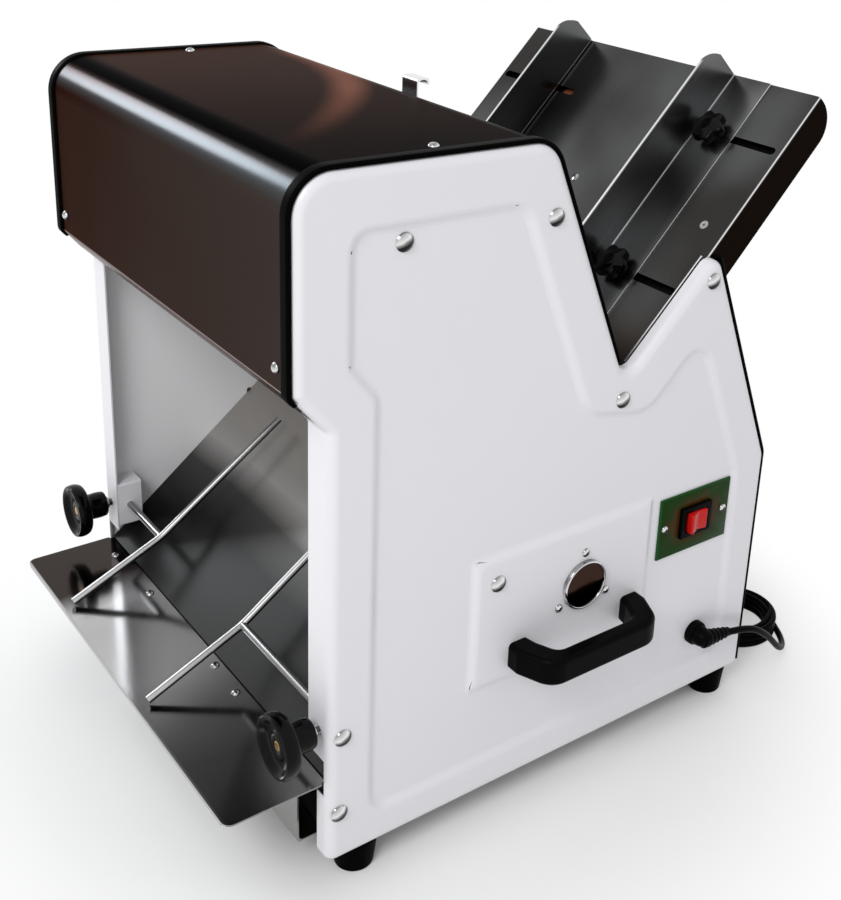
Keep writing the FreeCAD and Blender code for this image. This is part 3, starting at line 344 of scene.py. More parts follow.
# %% Bright plating
def plated(name, light, roughness=0.1):
    finish = Finish(name, grey(0.5), metallic=1.0, roughness=roughness)
    whole, x, y, z = finish.place("Normal")
    upright = x * -0.1 + y * -0.45 + z * 0.88
    room = finish.ramp(upright * 0.5 + 0.5, (0.0, grey(0.12)), (0.20, grey(0.03)),
                       (0.38, grey(0.012)), (0.48, grey(0.22)), (0.60, grey(0.85)),
                       (0.74, grey(0.6)), (0.88, grey(0.24)), (1.0, grey(0.45)))
    finish.put("Base Color", finish.mix(light, grey(0.0), room))
    finish.put("Roughness", roughness + finish.noise(finish.place()[0], 40.0) * 0.04)
    return finish.told()


bright = plated("bright plating", 0.95)
rail_plating = plated("rail plating", 0.75, 0.26)

# %% [markdown]
# ## The chute's sheets
# The chute and its fences are dark: their mirror grind shows the room behind the light.
# Soft clouds go over them, and every folded or cut edge gets a thin painted highlight. The
# fences are lighter copies of the chute's sheet, the right one most, as painted light. The
# floor turns brown towards its lower end as a painted reflection, and its side flanges are
# near black as painted shade in the gap beside the panels. Thin strips could be laid along
# the edges, but masks on the sheet's own coordinates are lighter, and they slide with a
# fence. The height off the chute's floor tells a fold from a foot's edge.

# %% Chute sheets
CHUTE_SIDE = 212.6
FENCE_HEIGHT = 50.0


def chute_sheet(name, edges, floor=False, light=1.0):
    """edges lists (signed x, greatest height, width) of painted highlights along the slope."""
    finish = Finish(name, grey(0.06), metallic=1.0, roughness=0.24,
                    specular_tint=(0.55, 0.55, 0.55, 1))
    whole, x, up, above = finish.on_slope(CHUTE_TILT, CHUTE_TOP)
    lines = {0: x * 0.6, 1: up * 0.012, 2: above * 0.6}
    grain = finish.noise(finish.node("ShaderNodeCombineXYZ", sockets=lines), 1.0, 3.0, 0.6)
    cloud = finish.noise(whole, 6.5, 1.5).step(0.38, 0.68)
    low = finish.mix(grain, grey(0.030, 0.05), grey(0.042, 0.05))
    # painted light: light makes a lighter copy of the sheet's upper tone
    high = finish.mix(grain, grey(0.085 * light), grey(0.11 * light, -0.03))
    base = finish.mix(cloud, low, high)
    if floor:
        # painted reflection: the floor turns brown towards its lower end
        painted_brown_reflection = up.step(-250, -330)
        base = finish.mix(painted_brown_reflection, base, (0.075, 0.055, 0.043))
        # painted shade: the side flanges, in the gap beside the panels, are near black
        side = x.size().step(212.4, 213.0) * above.step(-1.0, -1.8)
        base = finish.mix(side, base, (0.007, 0.004, 0.003))
    # painted highlights: thin bright lines along folds and cut edges
    for place, height, width in edges:
        line = (x - place).size().step(width, width * 0.5) * above.step(height + 0.4, height)
        line = line * above.step(-2.2, -1.4)
        base = finish.mix(line, base, grey(0.8))
    # painted highlight: a bright line along each fence's top hem
    hem_highlight = above.band(FENCE_HEIGHT, 1.1)
    base = finish.mix(hem_highlight, base, grey(0.75))
    finish.put("Base Color", base)
    finish.put("Roughness", 0.2 + grain * 0.1)
    finish.bump(grain, 0.04, 0.0002)
    return finish.told()


chute_steel = chute_sheet("chute sheet", [(CHUTE_SIDE, 4, 1.4), (-CHUTE_SIDE, 4, 1.4)],
                          floor=True)
# painted light: the fences are lighter copies of the chute's sheet, the right one most
left_steel = chute_sheet("left fence sheet", [(-112, 3, 1.6), (-162, 4, 0.9)], light=1.3)
right_steel = chute_sheet("right fence sheet", [(103, 3, 2.2), (153, 4, 0.9)], light=2.2)

# %% [markdown]
# ## The outlet's sheets
# The sloping plate is painted light at the top, where it faces the open outlet, and dark
# lower down, as painted reflection. The tray is painted brighter in its middle and dark brown
# at its left end, also as painted reflection, with a painted highlight along its front edge.
# A ramp along the sheet says that in one line. Some noise is added to the place along it,
# because a straight border between light and dark would look drawn.

# %% Outlet sheets
OUTLET_LENGTH = 263.0
TRAY_WIDTH = 0.46


def outlet_sheet():
    finish = Finish("outlet plate sheet", grey(0.3), metallic=0.75, roughness=0.34)
    whole, x, up, above = finish.on_slope(OUTLET_TILT, OUTLET_EDGE)
    wave = finish.noise(whole, 4.0, 1.0)
    place = up * (1 / OUTLET_LENGTH) + (wave - 0.5) * 0.12
    # painted reflection: light towards the top of the plate, dark lower down
    tone = finish.ramp(place, (0.0, grey(0.016)), (0.30, grey(0.010)), (0.44, grey(0.05, 0.03)),
                       (0.56, grey(0.40, 0.03)), (0.64, grey(0.34, 0.05)),
                       (1.0, grey(0.42, 0.07)))
    lines = {0: x * 1.1, 1: up * 0.02, 2: above * 1.1}
    grain = finish.noise(finish.node("ShaderNodeCombineXYZ", sockets=lines), 1.0, 3.0, 0.6)
    finish.put("Base Color", finish.mix(grain * 0.12, tone, grey(0.05)))
    finish.put("Roughness", 0.30 + grain * 0.08)
    finish.bump(grain, 0.02, 0.0002)
    return finish.told()


def tray_sheet():
    finish = Finish("tray sheet", grey(0.3), metallic=1.0, roughness=0.13)
    whole, x, y, z = finish.place()
    wave = finish.noise(whole, 6.0, 1.0)
    place = x * (1 / TRAY_WIDTH) + 0.5 + (wave - 0.5) * 0.12
    # painted reflection: dark brown at the left end, brighter in the middle
    tone = finish.ramp(place, (0.0, (0.030, 0.021, 0.018)), (0.17, (0.034, 0.024, 0.021)),
                       (0.25, grey(0.52)), (0.33, grey(0.46)), (0.56, grey(0.50)),
                       (0.70, grey(0.30)), (0.84, grey(0.20)), (1.0, grey(0.28)))
    # painted highlight along the tray's front edge
    edge = y.step(at(0, -55.6, 0).y, at(0, -56.8, 0).y)
    finish.put("Base Color", finish.mix(edge, tone, grey(0.45)))
    grain = finish.noise(finish.stretched((40, 1200, 1200)), 1.0, 3.0, 0.6)
    finish.put("Roughness", 0.09 + grain * 0.08)
    finish.bump(grain, 0.03, 0.0002)
    return finish.told()


outlet_steel = outlet_sheet()
tray_steel = tray_sheet()
sheet_steel = brushed("stainless sheet", grey(0.36, 0.02), 0.22, (40, 1200, 1200))

# %% [markdown]
# ## Small bright sheets
# The cover is lifted by a small folded tab, and a lip stands up along the chute's edge.
# The tab's lower part is in the cover's shade. It gets a darker tone of its own, because a
# white room lights it from below where a real one doesn't.

# %% Tab and lip
def tab_sheet():
    finish = Finish("cover tab sheet", grey(0.7), metallic=1.0, roughness=0.15)
    whole, x, y, z = finish.place()
    lower = z.step(0.620, 0.612)
    finish.put("Base Color", finish.mix(lower, grey(0.78), grey(0.10)))
    finish.put("Roughness", 0.14 + finish.noise(whole, 300.0) * 0.06)
    return finish.told()


tab_steel = tab_sheet()
# painted highlight: the lip's steel is light, for the bright line along the chute's edge
lip_highlight_steel = brushed("lip steel", grey(0.8), 0.2, (200, 200, 200))

# %% [markdown]
# ## Black mouldings and rubber
# Handles and knobs are moulded: the handles come out of a spark-eroded mould with a fine
# texture, the knobs out of a polished one. Rubber is duller, with a little dust in it. A
# black colour alone would look grey, since anything glossy reflects the white room, so the
# strength of the reflection comes down with it.

# %% Mouldings
def moulded(name, color, roughness, texture, depth, gloss):
    finish = Finish(name, color, roughness=roughness, specular_ior_level=gloss)
    speck = finish.noise(finish.place()[0], texture, 2.0)
    lighter = tuple(channel * 1.5 + 0.0005 for channel in color)
    finish.put("Base Color", finish.mix(speck, color, lighter))
    finish.put("Roughness", roughness + speck * 0.1)
    finish.bump(speck, depth, 0.0003)
    return finish.told()


black_satin = moulded("satin black", grey(0.0010), 0.3, 1800.0, 0.08, 0.03)
black_gloss = moulded("polished black", grey(0.0006), 0.12, 300.0, 0.02, 0.12)
red_gloss = moulded("switch red", (0.42, 0.006, 0.005), 0.2, 300.0, 0.02, 0.2)
rubber = moulded("black rubber", grey(0.0008), 0.36, 900.0, 0.06, 0.010)
jacket = moulded("cord jacket", grey(0.0010), 0.28, 700.0, 0.06, 0.02)

# %% [markdown]
# ## Switch plate
# The switch plate is a green plate under clear varnish, which is brown around the switch.
# A picture could hold the brown, but the distance from the middle, measured in half sizes
# of the plate and shaken by noise, needs none. A thin border stays plain green.

# %% Varnish
SWITCH = (430.5, 202.0)
PLATE_HALF = (0.0465, 0.032)


def varnished_plate():
    finish = Finish("switch plate varnish", (0.01, 0.06, 0.01), roughness=0.25,
                    specular_ior_level=0.06)
    whole, x, y, z = finish.place()
    middle = at(0, *SWITCH)
    away_y = (y - middle.y) * (1 / PLATE_HALF[0])
    away_z = (z - middle.z) * (1 / PLATE_HALF[1])
    wave = finish.noise(whole, 90.0, 2.0) * 0.5
    reach = (away_y * away_y + away_z * away_z).maths("SQRT") + wave
    tone = finish.ramp(reach * 0.6, (0.0, (0.022, 0.010, 0.002)), (0.50, (0.050, 0.022, 0.003)),
                       (0.66, (0.012, 0.034, 0.003)), (1.0, (0.003, 0.042, 0.004)))
    border = away_y.size().most(away_z.size())
    finish.put("Base Color", finish.mix(border.step(0.955, 0.975), tone, (0.01, 0.07, 0.015)))
    finish.put("Roughness", 0.2 + wave * 0.15)
    return finish.told()


plate_varnish = varnished_plate()

# %% [markdown]
# ## Dark places
# The bearing cap's disc is a dark mirror: brown above, where it shows the room, and black
# below a slanting horizon. The channel under a slot is black lacquer, which mirrors copper
# beside the left fence. Both are flat, so a step across them does what a room would.

# %% Cap film and slot lacquer
CRANK = (290.6, 180.0)


def cap_disc():
    finish = Finish("bearing cap disc", (0.03, 0.018, 0.014), metallic=1.0, roughness=0.1,
                    specular_tint=(0.5, 0.5, 0.5, 1))
    whole, x, y, z = finish.place()
    middle = at(0, *CRANK)
    slant = (z - middle.z) + (y - middle.y) * -0.22 + 0.004
    wave = finish.noise(whole, 60.0, 1.0) * 0.003
    upper_part = (slant + wave).step(0.0005, 0.0025)
    finish.put("Base Color", finish.mix(upper_part, grey(0.002), (0.040, 0.022, 0.017)))
    finish.put("Roughness", 0.1 + wave * 10)
    return finish.told()


def slot_lacquer():
    finish = Finish("slot lacquer", grey(0.003), roughness=0.4, specular_ior_level=0.05)
    whole, x, up, above = finish.on_slope(CHUTE_TILT, CHUTE_TOP)
    patch = x.band(-98.0, 18.0) * up.band(UPPER_SLOT, 12.5) * above.step(-9.5, -9.1)
    finish.put("Base Color", finish.mix(patch.step(0.1, 0.4), grey(0.003), (0.22, 0.075, 0.035)))
    finish.put("Roughness", 0.35 + finish.noise(whole, 200.0) * 0.1)
    return finish.told()


cap_film = cap_disc()
slot_black = slot_lacquer()

# %% [markdown]
# ## Which piece has which finish
# The frame's pieces come with one plain material each. Assigning to the slot gives the
# finish without touching the mesh.

# %% Finishes on the frame's pieces
FINISHES = {
    white_paint: "rail_brackets",
    lightened_inner_paint: "frame_plates bearing_beam motor_mount",
    bronze: "top_cover rear_cover",
    rubber: "cover_trims rear_trims feet drive_belt",
    tab_steel: "cover_tab",
    chute_steel: "chute",
    left_steel: "fence_left",
    right_steel: "fence_right",
    outlet_steel: "outlet_plate",
    tray_steel: "outlet_tray",
    sheet_steel: "front_apron",
    machined: "chute_spacers base_plate blade_frame_a blade_frame_b guide_brackets crankshaft "
              "connecting_rod_a connecting_rod_b tie_bars",
    blade_steel: "blades_a blades_b",
    bright: "fence_bolts_left fence_bolts_right guide_rods",
    rail_plating: "outlet_rail_left outlet_rail_right",
    black_satin: "carry_handles switch_housing cord_tie",
    red_gloss: "rocker",
    motor_enamel: "motor",
    cast: "crank_pulley motor_pulley crank_bearings",
}
for finish, names in FINISHES.items():
    for name in names.split():
        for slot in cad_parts[name].material_slots:
            slot.material = finish.material
print("dressed", sum(len(names.split()) for names in FINISHES.values()), "pieces of the frame")

# %% [markdown]
# ## Tools for new pieces
# Round pieces are turned from a line of corners, as on a lathe. Screws and knobs repeat,
# so one shape is put at many places in one mesh. Pressed sheets start from a merged copy of
# the frame's piece, whose folds are then rolled soft with a bevel. A piece's object stays
# at the origin, and its place is in its mesh, as it is for the frame's own pieces.

# %% Modelling helpers
def rounded(corners, steps=4):
    """Softens each (a, b, reach) corner with a short curve that starts reach before it."""
    points = []
    for number, (a, b, reach) in enumerate(corners):
        here = Vector((a, b))
        if reach == 0:
            points.append(here)
            continue
        before = (Vector(corners[number - 1][:2]) - here).normalized() * reach
        after = (Vector(corners[number + 1][:2]) - here).normalized() * reach
        for step in range(steps + 1):
            share = step / steps
            points.append(here + before * (1 - share) ** 2 + after * share ** 2)
    return points


def turned(profile, steps=48):
    """A shape turned about Z from (radius, height) corners in millimetres."""
    shape = bmesh.new()
    corners = [shape.verts.new((radius / 1000, 0, height / 1000)) for radius, height in profile]
    line = [shape.edges.new(pair) for pair in zip(corners, corners[1:])]
    bmesh.ops.spin(shape, geom=corners + line, cent=(0, 0, 0), axis=(0, 0, 1), angle=2 * pi,
                   steps=steps, use_merge=True)
    bmesh.ops.remove_doubles(shape, verts=shape.verts, dist=0.000001)
    bmesh.ops.recalc_face_normals(shape, faces=shape.faces)
    return shape


def set_of(shape, places):
    """One mesh of the same shape at several places."""
    single = bpy.data.meshes.new("single")
    shape.to_mesh(single)
    shape.free()
    whole = bmesh.new()
    for place in places:
        moved = single.copy()
        moved.transform(place)
        whole.from_mesh(moved)
        bpy.data.meshes.remove(moved)
    bpy.data.meshes.remove(single)
    return whole


def new_object(name, data):
    made = bpy.data.objects.new(name, data)
    bpy.context.collection.objects.link(made)
    return made


def piece(name, shape, finish, body, slot, *replaced, sharp=35):
    """Makes a shape a finished piece that rides on a body of the frame."""
    data = bpy.data.meshes.new(name)
    shape.to_mesh(data)
    shape.free()
    data.shade_smooth()
    data.set_sharp_from_angle(angle=radians(sharp))
    data.materials.append(finish.material)
    made = new_object(name, data)
    if replaced:
        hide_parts(*replaced)
    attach(made, body)
    return made


def cut_flat(shape, place, normal, parts=None):
    """Splits the faces along a plane and keeps both sides."""
    parts = parts or shape.verts[:] + shape.edges[:] + shape.faces[:]
    bmesh.ops.bisect_plane(shape, geom=parts, dist=0.000001, plane_co=place, plane_no=normal)


def on_plane(edge, place, normal):
    return all(abs((corner.co - place).dot(normal)) < 0.000002 for corner in edge.verts)


def merged_copy(node, cuts=(), reach=0.01):
    """A frame piece's copy, whose triangles are joined into flat faces between the cuts."""
    shape = bmesh.new()
    shape.from_mesh(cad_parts[node].data)
    bmesh.ops.remove_doubles(shape, verts=shape.verts, dist=reach / 1000)
    for cut in cuts:
        cut_flat(shape, *cut)
    loose = [edge for edge in shape.edges if not any(on_plane(edge, *cut) for cut in cuts)]
    bmesh.ops.dissolve_limit(shape, angle_limit=radians(0.5), verts=shape.verts, edges=loose)
    return shape


def soften(shape, width, steps, least, most, where=lambda middle: True):
    """Rolls the folds between two angles, in degrees, over a width in millimetres."""
    folds = []
    for edge in shape.edges:
        if len(edge.link_faces) == 2 and where((edge.verts[0].co + edge.verts[1].co) / 2):
            if least < abs(edge.calc_face_angle_signed(0)) * 180 / pi < most:
                folds.append(edge)
    bmesh.ops.bevel(shape, geom=folds, offset=width / 1000, offset_type="OFFSET", segments=steps,
                    profile=0.5, affect="EDGES", clamp_overlap=False, material=-1)
    return shape


# %% [markdown]
# ## Side panels
# Each side is pressed from one sheet: a shallow field is drawn in all round, and a raised
# pad carries the bearing cap and the handle. A press never leaves a sharp crease.
# Subdivision would soften the outline too, so only the creases are bevelled. The flat faces
# are first cut along lines through the holes, so that none of them has a hole in it.

# %% Side panels
PANEL_CUTS = [(at(0, y, 0), Vector((0, 1, 0))) for y in (40.5, 193, 320.4)]
PANEL_CUTS += [(at(0, 0, z), Vector((0, 0, 1))) for z in (66, 180, 202, 447.2, 534)]
CREASE_WIDTH = 2.6


def on_pressed_face(middle):
    """The outer face, away from the folds at the front and at the lower edge."""
    inner = at(229.2, 40, 16)
    return abs(middle.x) > inner.x and middle.y > inner.y and middle.z > inner.z


for word in SIDES:
    panel = merged_copy("side_panel_" + word, PANEL_CUTS, reach=0.2)
    before = len(panel.faces)
    soften(panel, CREASE_WIDTH, 4, 16, 50, on_pressed_face)
    print("side panel", word, before, "faces drawn,", len(panel.faces), "with rolled creases")
    made = piece("panel_" + word, panel, white_paint, "body", "white_paint",
                 "side_panel_" + word, sharp=60)
    made.modifiers.new("flat faces first", "WEIGHTED_NORMAL").keep_sharp = True

# %% [markdown]
# ## Cover trims
# The rubber trims sit thick on the cover's top and front, and get thin where they run down
# along the blades. At the step under the front they stop at the corner. They are thinned
# and cut from the drawn piece, which keeps its exact fit on the cover's edge.

# %% Thin the trims along the blades
SLOPE = radians(67)
THIN = 1.7
trims = merged_copy("cover_trims")
slope_out = Vector((0, sin(SLOPE), cos(SLOPE)))
slope_start, slope_top = at(0, 228.6, 595), at(0, 200, 566)
for corner in trims.verts:
    proud = (corner.co - slope_start).dot(slope_out) * 1000
    if corner.co.z < slope_top.z and corner.co.y > slope_top.y and proud > THIN:
        corner.co -= slope_out * (proud - THIN) / 1000

# %% Cut the trims at the step
step_down = Vector((0, 0.638, -0.770))
stop = at(0, 0, 431) + step_down * 0.007
above_stop = at(0, 0, 437)
cut_flat(trims, above_stop, (0, 0, 1))
under = [face for face in trims.faces
         if all(corner.co.z < above_stop.z + 0.00001 and corner.co.y < 0 for corner in face.verts)]
parts = {part for face in under for part in (face, *face.edges, *face.verts)}
cut_flat(trims, stop, step_down, list(parts))
past = [corner for corner in trims.verts if corner.co.y < 0 and corner.co.z < above_stop.z
        and (corner.co - stop).dot(step_down) > 0.00001]
bmesh.ops.delete(trims, geom=past, context="VERTS")
bmesh.ops.holes_fill(trims, edges=[edge for edge in trims.edges if edge.is_boundary])
open_edges = sum(edge.is_boundary for edge in trims.edges)
print("cover trims", len(trims.faces), "faces,", open_edges, "open edges")
piece("cover_edging", trims, rubber, "body", "edging", "cover_trims")

# %% [markdown]
# ## Screws
# The panels are held by domed cap screws, and the sheets by small pan heads with a cross
# slot. A cross could be cut out with a boolean, at the price of many small faces. Here a
# head is turned, and a ring of its points is pulled in between four arms.

# %% Domed screws
DOME = rounded([(0, 4.4, 0), (3.2, 4.3, 2.2), (6.9, 1.6, 1.6), (7.4, 0.9, 0.4), (7.4, 0, 0)])
PANEL_SCREWS = [(92, 534), (231, 534), (419.8, 447.2), (320.4, 354.8), (193, 214), (42, 124),
                (39, 50)]
dome_places = [facing(side, FIELD if spot == (92, 534) else WALL, *spot)
               for side in SIDES.values() for spot in PANEL_SCREWS]
dome_heads = set_of(turned(DOME), dome_places)
piece("dome_screws", dome_heads, bright, "body", "bright", "panel_screws")
print(len(dome_places), "domed screws")


# %% Small screws
def crossed(shape, reach):
    """Presses a cross into the top of a turned head, out to a radius in millimetres."""
    for corner in shape.verts:
        radius = sqrt(corner.co.x ** 2 + corner.co.y ** 2) * 1000
        if 0.01 < radius < reach:
            lobe = abs((corner.co.x ** 2 - corner.co.y ** 2) / (radius / 1000) ** 2) ** 3
            scale = 0.35 + 0.65 * lobe
            corner.co.x *= scale
            corner.co.y *= scale
    return shape


PAN = [(0, 1.2), (1.5, 1.2), (1.9, 2.45), (2.5, 2.2), (3.5, 1.5), (4.1, 0.7), (4.2, 0)]
pan_places = [on_outlet(side * 180.0, 243.2, 2.0) for side in SIDES.values()]
pan_places += [Matrix.Translation(at(x, y, OUTLET_EDGE[1]))
               for x, y in [(-190, 20), (-105, 21.5), (37, 24), (83, 22), (190, 20)]]
CAP_CIRCLE = 32
pan_places += [facing(side, WALL, CRANK[0] + CAP_CIRCLE * cos(radians(turn)),
                      CRANK[1] + CAP_CIRCLE * sin(radians(turn)))
               for side in SIDES.values() for turn in (90, -30, 210)]
pan_places += [facing(1, FIELD + 2, y, SWITCH[1]) for y in (391.5, 469.5)]
pan_heads = set_of(crossed(turned(PAN, 32), 2.0), pan_places)
piece("pan_screws", pan_heads, bright, "body", "bright", "fixing_screws")
print(len(pan_places), "small screws with a cross")

# %% [markdown]
# ## Chute and cover screws
# The chute is held by three screws. A fence slides over each outer one, so these are flush,
# and only the middle one stands proud. The cover's four screws are low domes.

# %% Chute and cover screws
CHUTE_SCREWS = -160.0
FLUSH = [(0, -1.2), (1.3, -1.2), (1.8, 0.07), (3.4, 0.06), (4.4, 0.03), (4.4, -1.4)]
RAISED = [(0, -1.2), (1.3, -1.2), (1.8, 0.9), (3.4, 0.5), (4.4, 0.05), (4.4, -1.4)]
for name, profile, across in (("chute_screws", FLUSH, (-186, 186)),
                              ("chute_middle_screw", RAISED, (0,))):
    places = [on_chute(x, CHUTE_SCREWS) for x in across]
    piece(name, set_of(crossed(turned(profile, 32), 1.9), places), bright, "body", "bright")
SMALL_DOME = rounded([(0, 2.8, 0), (2.4, 2.7, 1.4), (4.4, 0.9, 0.6), (4.6, 0, 0)])
forward = Matrix.Rotation(pi / 2, 4, "X")
cover_places = [Matrix.Translation(at(side * 210, -1.5, 448.0)) @ forward
                for side in SIDES.values()]
cover_places += [Matrix.Translation(at(side * 210, 129, 596.5)) for side in SIDES.values()]
cover_heads = set_of(turned(SMALL_DOME, 32), cover_places)
piece("cover_domes", cover_heads, bright, "body", "bright", "cover_screws")
print(len(cover_places), "domes on the cover")

# %% [markdown]
# ## Bearing caps
# A plated ring holds a dark polished disc over the end of the crankshaft on each side. A
# bevelled cylinder would round every edge alike, so both are turned from their outlines.

# %% Bearing caps
RING = rounded([(21.2, 3.0, 0), (21.7, 4.6, 0.4), (22.8, 4.8, 0.5), (24.0, 3.8, 0.8),
                (24.2, 0, 0)])
DISC = rounded([(0, 4.3, 0), (12, 4.2, 4), (21.6, 3.3, 0)])
cap_places = [facing(side, WALL, *CRANK) for side in SIDES.values()]
piece("cap_rings", set_of(turned(RING, 72), cap_places), bright, "body", "bright", "bearing_caps")
piece("cap_discs", set_of(turned(DISC, 72), cap_places), cap_film, "body", "brown_gloss")
print(len(cap_places), "bearing caps")

# %% [markdown]
# ## Star knobs
# Seven joined cylinders would make a star knob with sharp seams. Here it is turned first,
# and its rim is then pulled in between six soft lobes.

# %% Star knobs
HUB_REACH, LOBE_REACH, LOBE_DEPTH = 0.0095, 0.0085, 0.115
STAR = rounded([(4.2, 1.65, 0), (8.2, 1.65, 0.6), (9.2, 7, 1.0), (18, 7, 1.6), (18, 16.4, 2.6),
                (9, 17.4, 2.0), (6.5, 18.4, 1), (0, 18.2, 0)])
COLLAR = rounded([(3.1, 1.62, 0), (6.6, 1.62, 0.3), (6.6, 2.6, 0.4), (3.1, 2.8, 0)])
STARS = {"left_1": ("star_knob_left_upper", -137, UPPER_SLOT),
         "left_2": ("star_knob_left_lower", -137, LOWER_SLOT),
         "right_1": ("star_knob_right_upper", 128, UPPER_SLOT),
         "right_2": ("star_knob_right_lower", 128, LOWER_SLOT)}
for word, (body, x, up) in STARS.items():
    star = turned(STAR, 96)
    for corner in star.verts:
        radius = corner.co.to_2d().length
        if radius > HUB_REACH:
            share = (radius - HUB_REACH) / LOBE_REACH
            pull = 1 - share * LOBE_DEPTH * (1 - cos(6 * atan2(corner.co.y, corner.co.x)))
            corner.co.x *= pull
            corner.co.y *= pull
    place = on_chute(x, up)
    star.transform(place)
    piece("star_" + word, star, black_gloss, body, "black_gloss", "fence_knob_" + word, sharp=50)
    collar = turned(COLLAR, 32)
    collar.transform(place)
    piece("star_collar_" + word, collar, bright, body, "bright")
print(len(STARS), "star knobs with collars")

# %% [markdown]
# ## Slot guides
# Under each slot of the chute runs a lacquered channel, in which the bolt's head slides.
# Seen from above it makes the slots black. A block with a sunk top is enough for it.

# %% Slot guides
GUIDE_SIZE = (0.130, 0.027, 0.0082, 1)
GUIDE_WALL = 0.0022
GUIDE_DEPTH = 0.0072
guides = bmesh.new()
for side in SIDES.values():
    for up in (UPPER_SLOT, LOWER_SLOT):
        place = on_chute(side * 143.0, up, -5.8)
        shape = place @ Matrix.Diagonal(GUIDE_SIZE)
        block = bmesh.ops.create_cube(guides, size=1.0, matrix=shape)
        top = max({face for corner in block["verts"] for face in corner.link_faces},
                  key=lambda face: (place.inverted() @ face.calc_center_median()).z)
        bmesh.ops.inset_individual(guides, faces=[top], thickness=GUIDE_WALL)
        sunk = place.to_3x3() @ Vector((0, 0, -GUIDE_DEPTH))
        bmesh.ops.translate(guides, verts=top.verts, vec=sunk)
bmesh.ops.recalc_face_normals(guides, faces=guides.faces)
print("slot guides with", len(guides.faces), "faces")
piece("slot_guides", guides, slot_black, "body", "black_satin")

# %% [markdown]
# ## Chute lips and seals
# Where the chute sinks between the side panels, a lip stands up along its edge, in bright
# steel that is a painted highlight, and a black rubber seal in the gap to the painted fold
# stands in for the shade there. Both are pulled along the notch's slope.

# %% Chute lips and seals
NOTCH_LOW = (334.0, 382.4)
NOTCH_HIGH = (418.0, 466.4)


def along_notch(low_x, high_x, low, high):
    """A bar in the gap beside the chute, from low to high above the notch's sloping edge."""
    start, end = at(0, *NOTCH_LOW), at(0, *NOTCH_HIGH)
    normal = Vector((0, -sin(pi / 4), cos(pi / 4)))
    bars = bmesh.new()
    for side in SIDES.values():
        corners = [(low_x, low), (high_x, low), (high_x, high), (low_x, high)]
        ring = [bars.verts.new(start + normal * (height / 1000) + Vector((side * x / 1000, 0, 0)))
                for x, height in corners]
        face = bars.faces.new(ring)
        pulled = bmesh.ops.extrude_face_region(bars, geom=[face])
        moved = [part for part in pulled["geom"] if isinstance(part, bmesh.types.BMVert)]
        bmesh.ops.translate(bars, verts=moved, vec=end - start)
    bmesh.ops.recalc_face_normals(bars, faces=bars.faces)
    return bars


# the bright lip is a painted highlight and the black seal stands in for the shade in the gap
piece("chute_lips", along_notch(218.2, 219.6, -14.5, 0.8), lip_highlight_steel, "body", "stainless")
piece("gap_shade_seals", along_notch(219.6, 221.6, -8.0, -1.6), rubber, "body", "edging")
print("the notch's slope is", round((at(0, *NOTCH_HIGH) - at(0, *NOTCH_LOW)).length, 4), "m long")

# %% [markdown]
# ## Clamp knobs
# The rail's clamp knobs are polished dishes on a waisted hub, with a brass insert in the
# middle of the dish and a plated stud that goes into the panel's front fold. The stud's
# thread is a row of rings, which at this size looks like a helix and is far simpler.

# %% Clamp knobs
CLAMP = (218.5, 29.0, 127.5)
KNOB = rounded([(5.6, -7.2, 0), (12.6, -7.2, 1.6), (13.6, -14, 3), (13.0, -26, 3),
                (25.4, -28.4, 2.5), (28.0, -35, 4), (26.4, -42.6, 2.4), (22.6, -41.5, 1.6),
                (19, -36.6, 2.5), (12, -35.4, 2), (10, -37.6, 1), (5.2, -37.8, 0.8),
                (4.6, -36.4, 0), (0, -36.4, 0)], 3)
INSERT = rounded([(0, -37.0, 0), (3.4, -37.4, 0.4), (4.4, -37.2, 0.3), (4.5, -36.2, 0)])
STUD = [(6.4, -7.6), (6.4, -4.4), (5.9, -4.0)]
for turn_number in range(5):
    STUD += [(4.1, -3.6 + turn_number * 1.4), (3.5, -2.9 + turn_number * 1.4)]
STUD += [(4.1, 3.6), (4.1, 9), (0, 9)]
for word, side in SIDES.items():
    place = (Matrix.Translation(at(side * CLAMP[0], *CLAMP[1:]))
             @ Matrix.Rotation(-pi / 2, 4, "X"))
    for name, profile, finish, slot in (("clamp_dish_", KNOB, black_gloss, "black_gloss"),
                                        ("clamp_insert_", INSERT, brass, "bright"),
                                        ("clamp_thread_", STUD, bright, "bright")):
        part = turned(profile, 64)
        part.transform(place)
        replaced = ["clamp_knob_" + word] if name == "clamp_dish_" else []
        made = piece(name + word, part, finish, word + "_clamp", slot, *replaced)
        print(made.name, len(made.data.polygons), "faces")

# %% [markdown]
# ## Switch
# The plate has a slightly rolled edge. The bezel and the rocker are moulded, so all their
# edges are rounded, and the rocker shows two facets that meet at its middle. Bevelled
# copies of the drawn pieces keep the fit that lets the rocker tip in its bezel.

# %% Switch
def in_front(middle):
    return middle.x > 0.2345


switch_plate = soften(merged_copy("switch_plate"), 0.5, 2, 80, 100)
bezel = soften(merged_copy("switch_housing"), 1.1, 3, 80, 100, in_front)
button = soften(merged_copy("rocker"), 0.9, 3, 60, 120, in_front)
print("switch", len(switch_plate.faces), len(bezel.faces), len(button.faces), "faces")
piece("green_plate", switch_plate, plate_varnish, "body", "plate_green", "switch_plate")
piece("switch_bezel", bezel, black_satin, "body", "black_satin", "switch_housing")
piece("rocker_cap", button, red_gloss, "switch_rocker", "red_gloss", "rocker", sharp=40)

# %% [markdown]
# ## Cable gland
# A nut clamps the gland to the wall, and a tapered boot with rings carries the lead away
# from it, so that it can't kink there. All three parts are turned, and the boot is then
# tilted to where the lead goes.

